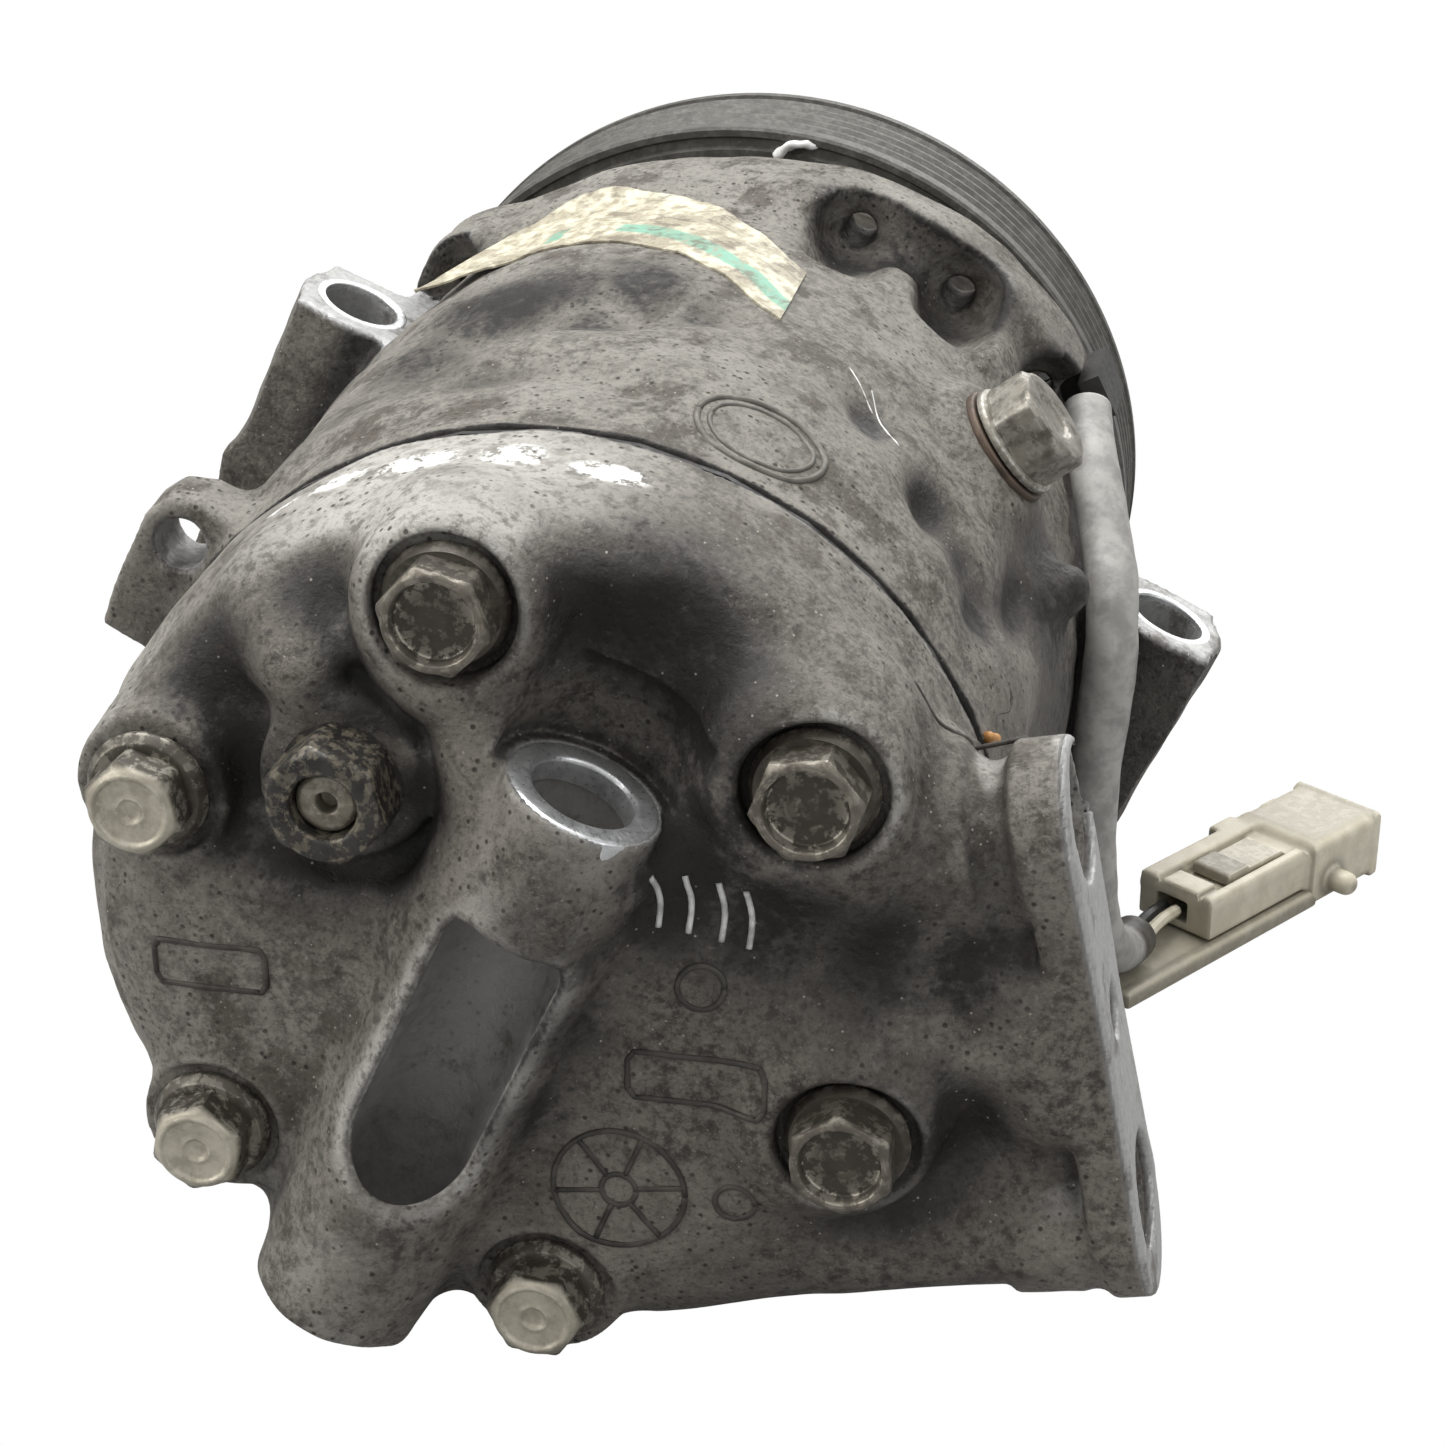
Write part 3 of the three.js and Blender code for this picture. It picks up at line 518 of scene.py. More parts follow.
def mesh_object(name, points, faces, smooth=True, values=None):
    """Mesh from millimetre points in the construction frame; faces all have the same number of corners."""
    faces = np.asarray(faces, np.int32)
    mesh = bpy.data.meshes.new(name)
    mesh.vertices.add(len(points))
    mesh.vertices.foreach_set("co", row(points).astype(np.float32).ravel())
    mesh.loops.add(faces.size)
    mesh.loops.foreach_set("vertex_index", faces.ravel())
    mesh.polygons.add(len(faces))
    mesh.polygons.foreach_set("loop_start", np.arange(0, faces.size, faces.shape[1], dtype=np.int32))
    mesh.update(calc_edges=True)
    mesh.polygons.foreach_set("use_smooth", np.full(len(faces), smooth))
    for key, value in (values or {}).items():
        layer = mesh.attributes.new(key, "FLOAT", "POINT")
        layer.data.foreach_set("value", np.asarray(value, np.float32))
    mesh.validate()
    thing = bpy.data.objects.new(name, mesh)
    bpy.context.scene.collection.objects.link(thing)
    return thing


def closed_mesh(name, points, faces, values):
    """Mesh of a closed surface of four-sided faces, turned outward."""
    thing = mesh_object(name, points, faces, values=values)
    a, b, c, d = (points[faces[:, i]] for i in range(4))
    if (np.cross(a, b) * c).sum() + (np.cross(a, c) * d).sum() < 0:
        thing.data.flip_normals()
    return thing


def ring_faces(count, steps, closed=False):
    """Four-sided faces between rings of points that follow each other."""
    base = np.arange(steps)
    following = (base + 1) % steps
    faces = []
    for k in range(count if closed else count - 1):
        a, b = k * steps, (k + 1) % count * steps
        faces.append(np.stack([a + base, a + following, b + following, b + base], 1))
    return np.concatenate(faces)


def spots(points, places):
    """Soft round marks: each is (x, y, z, size, strength)."""
    total = np.zeros(len(points))
    for x, y, z, size, strength in places:
        d = ((points - np.array([x, y, z])) ** 2).sum(1)
        total = np.maximum(total, strength * np.exp(-d / (size * size)))
    return total


def bands(points, places):
    """Soft marks on the barrel: each is (angle, y, half angle, half length, strength)."""
    angle = np.degrees(np.arctan2(points[:, 2], points[:, 0]))
    total = np.zeros(len(points))
    for a, y0, da, dy, strength in places:
        gap = (angle - a + 180) % 360 - 180
        mark = strength * np.exp(-((gap / da) ** 2) - ((points[:, 1] - y0) / dy) ** 2)
        total = np.maximum(total, mark)
    return total


def shade_and_wear(casting, points):
    """How far each point sits in a hollow, and on an edge, from 0 to 1. The hollow measure darkens colours as
    painted shade and grime; the edge measure marks wear.
    """
    g = casting.slope(points)
    normal = g / np.maximum(np.linalg.norm(g, axis=1), 1e-6)[:, None]
    near = 1 - casting.sample(points + normal * 2.2) / 2.2
    far = 1 - casting.sample(points + normal * 6) / 6
    hollow = np.clip(0.8 * near + 0.6 * far, 0, 1)
    edge = np.clip(1 + casting.sample(points - normal * 1.6) / 1.6, 0, 1)
    return hollow, edge


def rear_head():
    c = Casting((-60, -45.4, -62.4), (82, 1.2, 60.4), 0.5)
    c.revolve(
        [
            (0, -30.8), (38, -30.8), (45.5, -29.8), (51, -26.8), (54.8, -21.6), (56.6, -14.5), (57, -8),
            (57, 0.6), (0, 0.6),
        ]
    )
    # Port neck: a core, a rib to each port, one between them, and one from the second bolt.
    c.prism([(-5.5, -49), (5.5, -49), (5.5, 4), (-5.5, 4)], port(4, -17, 0), Y, PORT_UP, 0, 60, 7, 2)
    c.rod(port(6, -17, -46.5), port(57, -17, -48.3), 8.9, 7, 2)
    c.rod(port(52.6, -17, -48.7), port(66, -17, -49.2), 9.5, 1.2, 1)
    c.rod(port(26, -17, 2.5), port(66, -17, 5), 9.2, 7, 2)
    c.capsule(port(46, -18.2, -21), port(61, -17.8, -22), 8.8, 5)
    c.capsule(polar(45, 17, -18), port(57, -17, 3.5), 8.6, 8)
    # Ridge that carries the rear mounting bolt.
    c.rod(mount(0, REAR_Y, -54), mount(0, REAR_Y, REAR_TOP), 9.8, 8, 1.5)
    flank = [(-8.6, -54), (8.6, -54), (8.6, 24), (-8.6, 24)]
    c.prism(flank, np.array([0, -22.0, 0]), MOUNT_SIDE, MOUNT_UP, 0, 13, 6, 1.5)
    # Soft hollows of the upper face.
    c.capsule(polar(41, 77, -37), polar(43, 55, -37), 12.5, 6, True)
    c.capsule(polar(34, 50, -37.5), polar(38, 44, -38), 9.5, 5, True)
    c.capsule(polar(51, 114, -34), polar(46, 112, -35), 8.8, 6, True)
    c.capsule(polar(50, 134, -33.5), polar(37, 148, -34), 8.4, 6, True)
    c.capsule(polar(31, 14, -38.5), polar(41, 2, -37), 9.5, 6, True)
    c.capsule(port(53.5, -33.5, -4), port(52, -33.5, -12), 6.5, 5, True)
    c.capsule(port(53, -33, -31), port(45, -36.5, -37), 6.8, 5, True)
    c.rod(RELIEF + Y * -50, RELIEF + Y * -27.2, 14.4, 4, 2, True)
    # Ridges between them.
    c.capsule(polar(50.5, 125, -20), polar(42, 123, -28.4), 4.4, 6)
    c.capsule(polar(50, 95.6, -22), polar(46, 95.6, -26), 6.5, 7)
    c.capsule(polar(49, 41, -19), polar(45, 46, -26), 6, 8)
    c.capsule(np.array([1.6, -30.4, 30.5]), np.array([-5.6, -29.6, 36.6]), 3.4, 6)
    c.capsule(np.array([-1.6, -30.6, 27]), np.array([-2.4, -31, 13]), 4, 5)
    c.capsule(np.array([-2.4, -31, 13]), np.array([-9, -31, 4]), 4, 5)
    # Bolt pads and bosses.
    for a, high in zip(BOLTS[:3], (-32, -32, -31.6)):
        c.rod(polar(BOLT_CIRCLE - 0.8, a, high), polar(BOLT_CIRCLE - 2, a, -16), 11.4, 6, 2.6)
    for a in BOLTS[3:]:
        c.rod(polar(BOLT_CIRCLE, a, -30.2), polar(BOLT_CIRCLE, a, -4), 9.5, 4, 1.2)
    c.rod(RELIEF + Y * -31.6, RELIEF + Y * -20, 10.4, 3, 1.2)
    c.rod(mount(0, REAR_Y, 10), mount(0, REAR_Y, 31), 9.8, 0.5)
    c.roughen(3, [(14, 0.07), (6, 0.035)], 5)
    c.rod(mount(0, REAR_Y, REAR_TOP), mount(0, REAR_Y, 40), 11.4, 0.4, 0, True)
    c.rod(mount(0, REAR_Y, 28.4), mount(0, REAR_Y, 70), 8.6, 1.5, 0, True)
    # Grooves behind the round ends of the flange plate.
    upper = [(-26.4, -7), (-27.2, 0), (-27.6, 5)]
    upper += [(-17 - 10.8 * math.cos(t), 5 + 10.8 * math.sin(t)) for t in np.linspace(0.3, math.pi, 8)]
    lower = [(-27, -39), (-27.4, -44), (-27.6, -49)]
    lower += [(-17 - 10.6 * math.cos(t), -49 - 10.6 * math.sin(t)) for t in np.linspace(0.3, math.pi, 8)]
    for line, radius, out in ((upper, 2.2, 60.6), (lower, 0.7, 62.6)):
        for (y0, up0), (y1, up1) in zip(line[:-1], line[1:]):
            c.capsule(port(out, y0, up0), port(out, y1, up1), radius, 1.6, True)
    # Flange plate with a light waist, and its machined face.
    c.rod(port(63, -17, 5.2), port(70, -17, 5.2), 10.2, 1.2, 1)
    c.rod(port(64.5, -17, -49.3), port(70, -17, -49.3), 10.2, 1.2, 1)
    c.prism(
        [
            (-10.2, -49.3), (10.2, -49.3), (9.4, -36), (8.3, -22), (9.4, -8), (10.2, 5.2), (-10.2, 5.2),
            (-8.3, -22)
        ],
        port(63.5, -17, 0), Y, PORT_UP, 0, 6.5, 1.2, 1,
    )
    c.capsule(port(59, -18.4, -15), port(61, -18.2, -28), 8.7, 3)
    c.prism([(-16, -66), (16, -66), (16, 22), (-16, 22)], port(70, -17, 0), Y, PORT_UP, 0, 11, 0.5, 0, True)
    # Bores and chambers.
    for a in BOLTS:
        c.rod(polar(BOLT_CIRCLE, a, -30), polar(BOLT_CIRCLE, a, -46), 8.7, 1, 0, True)
        c.rod(polar(BOLT_CIRCLE, a, -48), polar(BOLT_CIRCLE, a, 3), 3.8, 0, 0, True)
    c.rod(mount(0, REAR_Y, -58), mount(0, REAR_Y, 32), 7.3, 0.3, 0, True)
    c.prism(
        [(7.2 * math.cos(t), -23.4 + 7.4 * math.sin(t)) for t in np.linspace(-math.pi, 0, 15)]
        + [(7.2, 6), (6.4, 8.4), (4.4, 9.2), (-4.4, 9.2), (-6.4, 8.4), (-7.2, 6)],
        np.array([0.0, REAR_Y, 0]), MOUNT_SIDE, MOUNT_UP, 0, 14, 2.2, 0, True,
    )
    c.rod(RELIEF + Y * -46, RELIEF + Y * -20, 4.6, 0.4, 0, True)
    c.rod(port(32, -15, 5.2), port(72, -15, 5.2), 7, 0.4, 0, True)
    c.rod(port(20, -17, -46), port(72, -17, -46), 6, 0.4, 0, True)
    c.rod(port(54, -17, -20.5), port(72, -17, -20.5), 3.4, 0.4, 0, True)
    c.rod(port(68.6, -15, 5.2), port(72, -15, 5.2), 8.4, 0.3, 0, True)
    c.rod(port(68.6, -17, -46), port(72, -17, -46), 7.4, 0.3, 0, True)
    c.rod(polar(22, -114.4, -10.5), polar(62, -114.4, -10.5), 6.4, 0.4, 0, True)
    c.rod([0, -22.5, 0], [0, 3, 0], 26.8, 0.5, 0, True)
    c.revolve([(30.2, -18), (41, -18), (41, 3), (30.2, 3)], remove=True)
    c.revolve([(SEAL, -JOINT_GAP), (90, -JOINT_GAP), (90, 3), (SEAL, 3)], remove=True)
    c.rod([0, -0.1, 0], [0, 6, 0], 90, 0, 0, True)
    points, faces = c.surface()
    hollow, edge = shade_and_wear(c, points)
    up = points @ MOUNT_UP
    out = points @ PORT_OUT
    across = points @ MOUNT_SIDE
    off_bore = np.hypot(across, points[:, 1] - REAR_Y)
    ring = 0.8 * np.clip(1 - np.abs(up - REAR_TOP) / 0.5, 0, 1) * np.clip((9.9 - off_bore) / 0.5, 0, 1)
    bore = np.clip((7.9 - off_bore) / 0.4, 0, 1) * (np.abs(up + 13) < 42) * 0.5
    face = np.clip((out - 68.7) / 0.7, 0, 1)
    lip = 0.1 * np.clip(1 - np.abs(points[:, 1] + 0.8) / 0.5, 0, 1)
    machined = np.clip(np.maximum.reduce([ring, bore, face * 0.9, lip]), 0, 1)
    # Oily soot and painted shade: dark spots in the hollows of the rear face and low down, and a slight
    # darkening towards +X. The joint groove is darkened as a dark joint.
    soot_and_shade = spots(
        points,
        [
            (18, -26, 45, 13, 1.0), (25, -26, 33, 11, 1.0), (29, -29, 22, 9, 0.8), (22, -30, 13, 10, 0.95),
            (33, -30, 8, 11, 0.9), (44, -28, 5, 10, 0.75), (56, -25, 2, 8, 0.7), (52, -26, -19, 9, 0.9),
            (44, -30, -12, 8, 0.5), (47, -30, -33, 8, 0.55), (-34, -26, 33, 8, 0.9),
            (-31, -28, 23, 8, 1.0), (-22, -27, 45, 6, 0.75), (-17, -28, 38, 6, 0.5),
            (-14, -30, 33, 8, 0.8), (-7, -30, 22, 6, 0.9), (-12, -30, 14, 7, 0.8), (-24, -30, 10, 8, 0.8),
            (-35, -30, 16, 7, 0.7), (10, -34, 8, 7, 0.8), (8, -34, -5, 7, 0.7), (3, -34, -18, 7, 0.7),
            (3, -36, 0, 6, 0.5), (30, -30, -46, 14, 0.35), (58, -20, -50, 12, 0.4), (0, -20, -60, 20, 0.4),
        ],
    )
    soot_and_shade = soot_and_shade + 0.1 * np.clip((points[:, 0] + 5) / 60, 0, 1)
    soot_and_shade = np.maximum(soot_and_shade, 0.9 * np.clip(1 - np.abs(points[:, 1] + 0.9) / 0.8, 0, 1))
    angle = np.degrees(np.arctan2(points[:, 2], points[:, 0]))
    r = np.hypot(points[:, 0], points[:, 2])
    # Upper part of the outer rim: dust, and below it a painted highlight.
    rim = np.clip((r - 51) / 4, 0, 1) * np.clip((points[:, 2] + 8) / 30, 0, 1)
    # Lower left of the head made pale with the dust colour: painted light where the left lamp falls.
    pale = 0.85 * np.clip((-6 - points[:, 0]) / 20, 0, 1) * np.clip((10 - points[:, 2]) / 16, 0, 1)
    dust_and_painted_light = np.clip(np.maximum(0.75 * rim, pale) - soot_and_shade * 0.8, 0, 1)
    # Painted highlight along the top of the rim, laid over the edge wear as bright rubbed colour.
    wear_and_highlight = np.exp(-(((angle - 100) / 30) ** 2)) + 0.5 * np.exp(-(((angle - 152) / 14) ** 2))
    edge = np.maximum(edge, 0.95 * rim * wear_and_highlight)
    dabs = [
        (104, -9.5, 5.5, 2.8, 1.0), (92, -9.5, 4.0, 3.2, 1.0), (80, -10.5, 5.0, 2.6, 1.0),
        (115, -8.5, 5.0, 2.2, 0.8), (124, -8, 4.0, 1.8, 0.6),
    ]
    paint = bands(points, dabs) * (r > 52)
    thing = mesh_object(
        "head_casting", points, faces,
        values={
            "soot_and_shade": soot_and_shade, "edge": edge, "hollow": hollow, "machined": machined, "dust_and_painted_light": dust_and_painted_light,
            "paint": paint,
        },
    )
    return c, thing


def front_housing():
    c = Casting((-82.4, -0.4, -63.4), (82.4, 144.6, 64.6), 0.72)
    dents = [
        (105, 42, 11, 9, 3.8), (89, 43, 8, 8, 3.4), (117, 34, 8, 12, 3.2), (78, 46, 5, 5, 2.0),
        (99, 17, 12, 6, 2.2), (84, 15, 6, 5, 1.6), (55, 36, 4.5, 7, 2.4), (42, 27, 6, 8, 3.2),
        (30, 21, 5, 9, 3.2), (23, 38, 5.5, 13, 3.2), (44, 47, 9, 8, 1.0), (5, 28, 8, 14, 2.6),
        (-25, 28, 9, 12, 2.8), (-55, 28, 9, 12, 2.8), (-85, 28, 9, 12, 2.8), (-115, 28, 9, 12, 2.8),
        (-145, 28, 9, 12, 2.8), (172, 30, 9, 12, 2.6), (143, 30, 8, 12, 2.4),
    ]
    c.revolve(
        [
            (0, -0.3), (57, -0.3), (57.5, 7), (59, 13), (59.7, 22), (59.8, 93), (61.4, 98), (61.5, 111.5),
            (60.2, 113), (24, 113), (20, 115), (20, 143.5), (0, 143.5),
        ],
        dents,
    )
    # Thick front rim with sunk lugs on the upper side, one lug on the other side.
    for a, r in ((28, 56), (36, 56), (44, 56), (52, 56), (60, 55.6), (68, 54.4), (75, 53)):
        c.rod(polar(r, a, 97), polar(r, a, 113), 9.6, 4, 2.5)
    c.rod(polar(56.5, 131, 94), polar(56.5, 131, 113), 8.6, 5, 2)
    c.capsule(polar(55, 45, 84), polar(55.5, 44, 100), 6, 7)
    c.capsule(polar(55, 78, 96), polar(54.4, 84, 107), 6, 6)
    # Mounting bosses.
    for side, top in BOSSES:
        x = BOSS_X * side
        outline = [
            (x, -9.8), (x + 8.4 * side, -9.8), (x + 8.4 * side, 9.4), (x - 20 * side, 9.4),
            (x - 20 * side, -3), (x - 7 * side, -6.8),
        ]
        high = [(u - 0.8 * side if abs(u) > 70 else u, v + 0.7 if v < -9 else v) for u, v in outline]
        c.prism(outline, mount(0, BOSS_Y, 0), MOUNT_SIDE, Y, -31, -8.2, 4, 1.4)
        c.prism(high, mount(0, BOSS_Y, 0), MOUNT_SIDE, Y, -10, top + 2, 4, 0.5)
        c.rod(mount(x, BOSS_Y, -31), mount(x, BOSS_Y, top + 2), 9.2, 2, 1)
    c.capsule(polar(55, 20, 50), polar(61.4, 16.5, 57), 3.2, 4)
    # Flat lug by the joint.
    c.prism(
        [(-66.4, -3), (-47, -3), (-47, 19.6), (-54, 19), (-60.5, 19.2), (-64.4, 17.8), (-66.4, 14.4)],
        np.array([0, 3.0, 0]), MOUNT_SIDE, MOUNT_UP, -9.5, 0, 3, 1,
    )
    # Filler plug boss.
    c.rod(polar(48, 37, 59), polar(60.6, 37, 59), 10, 5, 0.8)
    c.roughen(5, [(15, 0.07), (8, 0.03)], 5)
    for side, top in BOSSES:
        x = BOSS_X * side
        box = [(x - 14, -14), (x + 14, -14), (x + 14, 14), (x - 14, 14)]
        c.prism(box, mount(0, BOSS_Y, 0), MOUNT_SIDE, Y, top, top + 9, 0.5, 0, True)
        c.rod(mount(x, BOSS_Y, -34), mount(x, BOSS_Y, top + 3), 5.65, 0.4, 0, True)
    c.rod(mount(-60.5, 0, 12.8), mount(-60.5, 16, 12.8), 3.35, 0.5, 0, True)
    c.capsule(polar(60.5, 68, 84), polar(59.5, 68, 99), 5.6, 3, True)
    c.capsule(polar(60.5, 50.5, 84), polar(59.5, 50.5, 99), 5.8, 3, True)
    c.capsule(polar(61.5, 66, 97), polar(61.5, 52, 97), 4.6, 3, True)
    c.capsule(polar(60.5, 32, 88), polar(60, 32, 99), 5.2, 2.5, True)
    c.capsule(polar(61.5, 131, 84), polar(60, 131, 97), 5.4, 2.5, True)
    for a in (32, 50.5, 68, 131):
        c.rod(polar(57.6, a, 90), polar(57.6, a, 122), 2.5, 0.6, 0, True)
    c.rod([0, -3, 0], [0, 97, 0], 50.5, 0.5, 0, True)
    for a in BOLTS:
        c.rod(polar(BOLT_CIRCLE, a, 84.2), polar(BOLT_CIRCLE, a, 98), 6.8, 1)
        c.rod(polar(BOLT_CIRCLE, a, 78), polar(BOLT_CIRCLE, a, 95), 3.5, 0, 0, True)
    c.rod([0, 90, 0], [0, 115.5, 0], 13.6, 0, 0, True)
    c.rod([0, 110, 0], [0, 120, 0], 10.1, 0, 0, True)
    c.rod([0, 119, 0], [0, 150, 0], 13.1, 0, 0, True)
    c.revolve([(18.8, 140.4), (30, 140.4), (30, 142), (18.8, 142)], remove=True)
    c.rod(polar(46, 37, 59), polar(64, 37, 59), 5.35, 0.3, 0, True)
    route = [np.array(p, float) for p in LEAD[:9]]
    c.rod([route[0][0], 120, route[0][2]], [route[0][0], 94, route[0][2]], 5, 1.2, 0, True)
    for a, b in zip(route[:-1], route[1:]):
        c.capsule(a, b, 4.7, 1.2, True)
    c.revolve([(SEAL, -3), (90, -3), (90, JOINT_GAP), (SEAL, JOINT_GAP)], remove=True)
    c.rod([0, 0.1, 0], [0, -6, 0], 90, 0, 0, True)
    points, faces = c.surface()
    hollow, edge = shade_and_wear(c, points)
    up = points @ MOUNT_UP
    across = points @ MOUNT_SIDE
    machined = np.zeros(len(points))
    for side, top in BOSSES:
        off = np.hypot(across - BOSS_X * side, points[:, 1] - BOSS_Y)
        near = (np.abs(across - BOSS_X * side) < 12) * (np.abs(points[:, 1] - BOSS_Y) < 14)
        face = 0.85 * np.clip(1.7 - np.abs(up - top) / 0.5, 0, 1) * near
        bore = np.clip((6.3 - off) / 0.4, 0, 1) * (up > -32) * (up < top + 1) * 0.8
        machined = np.maximum(machined, np.maximum(face, bore))
    hole = np.hypot(across + 60.5, up - 12.8)
    machined = np.maximum(machined, 0.7 * np.clip((4 - hole) / 0.5, 0, 1) * (points[:, 1] < 14))
    # Oily soot and painted shade: darkened in the dents, in the lug pockets by the front rim, on the sides
    # and underneath. The joint groove is darkened as a dark joint.
    soot_and_shade = bands(
        points,
        [
            (108, 53, 16, 10, 1.1), (90, 54, 8, 8, 1.0), (112, 24, 8, 7, 0.6), (96, 43, 6, 7, 0.85),
            (82, 46, 6, 6, 0.7), (120, 42, 8, 12, 0.8), (134, 52, 10, 14, 0.4), (103, 18, 8, 3.5, 0.6),
            (120, 60, 5, 10, 0.5), (55, 36, 4, 5.5, 1.0), (43, 29, 4.5, 6.5, 1.2), (36, 24, 3.5, 6, 0.9),
            (29, 21, 4.5, 7, 1.1), (23, 38, 5, 12, 1.0), (20, 20, 8, 10, 0.45), (15, 50, 12, 14, 0.9),
            (0, 60, 16, 40, 0.8), (68, 96, 7, 7, 1.0), (59, 97, 8, 5, 0.95), (50.5, 96, 7, 7, 1.0),
            (32, 97, 6, 7, 1.0), (131, 94, 7, 8, 0.9), (143, 62, 18, 26, 0.5), (134, 26, 20, 16, 0.42),
            (155, 20, 12, 14, 0.5), (112, 46, 14, 12, 0.3), (190, 50, 22, 40, 0.5), (-90, 50, 60, 60, 0.5),
        ],
    )
    # Darker down the sides of the mounting bosses, below their faces.
    right = (across > 54.5) & (up < 31.6) & (np.abs(points[:, 1] - 85) < 14)
    soot_and_shade = np.maximum(soot_and_shade, 0.6 * right)
    left = (across < -54) & (up < 17.6) & (points[:, 1] > 60)
    soot_and_shade = np.maximum(soot_and_shade, 0.3 * left)
    soot_and_shade = np.maximum(soot_and_shade, 0.9 * np.clip(1 - np.abs(points[:, 1] - 0.9) / 0.7, 0, 1))
    r = np.hypot(points[:, 0], points[:, 2])
    top = np.clip((points[:, 2] - 12) / 30, 0, 1) * np.clip((r - 52) / 4, 0, 1)
    dust_and_painted_light = np.clip(top * np.clip((points[:, 1] + 4) / 8, 0.55, 1) - soot_and_shade, 0, 1)
    thing = mesh_object(
        "housing_casting", points, faces,
        values={
            "soot_and_shade": soot_and_shade, "edge": edge * 0.8, "hollow": hollow, "machined": np.clip(machined, 0, 1),
            "dust_and_painted_light": dust_and_painted_light, "paint": np.zeros(len(points)),
        },
    )
    return c, thing


# ------------------------------------------------------------------ turned pieces
def frame_on(axis):
    """Two directions square to an axis."""
    axis = np.asarray(axis, float) / np.linalg.norm(axis)
    other = np.array([0, 0, 1.0]) if abs(axis[2]) < 0.9 else np.array([1.0, 0, 0])
    u = np.cross(other, axis)
    u /= np.linalg.norm(u)
    return axis, u, np.cross(axis, u)


def turned(name, stations, origin, axis, steps=72, roll=0.0, closed=False, wear=1.0, shade=None):
    """Turned piece: stations are (distance along the axis, radius) or (distance, radius, across flats).
    A station with a third value is kept inside a hexagon of that width."""
    axis, u, v = frame_on(axis)
    angles = np.arange(steps) * 2 * math.pi / steps
    rings = []
    for k, station in enumerate(stations):
        along, radius = station[0], station[1]
        r = np.full(steps, float(radius))
        if len(station) > 2:
            inner = station[2] / 2
            turn60 = (angles + math.radians(roll) + math.pi / 6) % (math.pi / 3) - math.pi / 6
            r = np.minimum(r, inner / np.cos(turn60))
        rings.append(
            np.asarray(origin, float)
            + axis * along
            + (np.cos(angles) * r)[:, None] * u
            + (np.sin(angles) * r)[:, None] * v
        )
    n = len(stations)
    profile = np.array([[s[0], s[1]] for s in stations], float)
    sharp = np.zeros(n)
    for k in range(n):
        if not closed and k in (0, n - 1):
            continue
        a = profile[k] - profile[k - 1]
        b = profile[(k + 1) % n] - profile[k]
        turn = abs(a[0] * b[1] - a[1] * b[0]) / (np.linalg.norm(a) * np.linalg.norm(b) + 1e-9)
        sharp[k] = min(1, turn * 1.4)
    # Each station's shade value; the bolt heads use it for painted shade.
    dark = [shade(*station[:2]) if shade else 0.0 for station in stations]
    values = {"edge": np.repeat(sharp, steps) * wear, "shade": np.repeat(dark, steps)}
    return closed_mesh(name, np.concatenate(rings), ring_faces(n, steps, closed), values)


def crisp(thing, degrees=32):
    """Smooth shading that keeps hard edges."""
    mesh = thing.data
    mesh.update()
    work = bmesh.new()
    work.from_mesh(mesh)
    for edge in work.edges:
        edge.smooth = not (len(edge.link_faces) == 2 and edge.calc_face_angle(0) > math.radians(degrees))
    work.to_mesh(mesh)
    work.free()
    return thing


def fillet(points, size, count=3):
    """Rounds the corners of an open profile of (along, radius)."""
    result = [points[0]]
    for k in range(1, len(points) - 1):
        p, q, r = (np.array(points[i][:2], float) for i in (k - 1, k, k + 1))
        extra = tuple(points[k][2:])
        a, b = p - q, r - q
        la, lb = np.linalg.norm(a), np.linalg.norm(b)
        s = min(size, 0.45 * la, 0.45 * lb)
        start, end = q + a / la * s, q + b / lb * s
        for i in range(count + 1):
            t = i / count
            m = (1 - t) ** 2 * start + 2 * t * (1 - t) * q + t * t * end
            result.append((float(m[0]), float(m[1])) + extra)
    result.append(points[-1])
    return result


def finished(thing, material, body, *nodes, slot=None):
    thing.data.materials.clear()
    thing.data.materials.append(MATERIALS[material])
    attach(thing, body)
    if nodes:
        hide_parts(*nodes)
    return thing


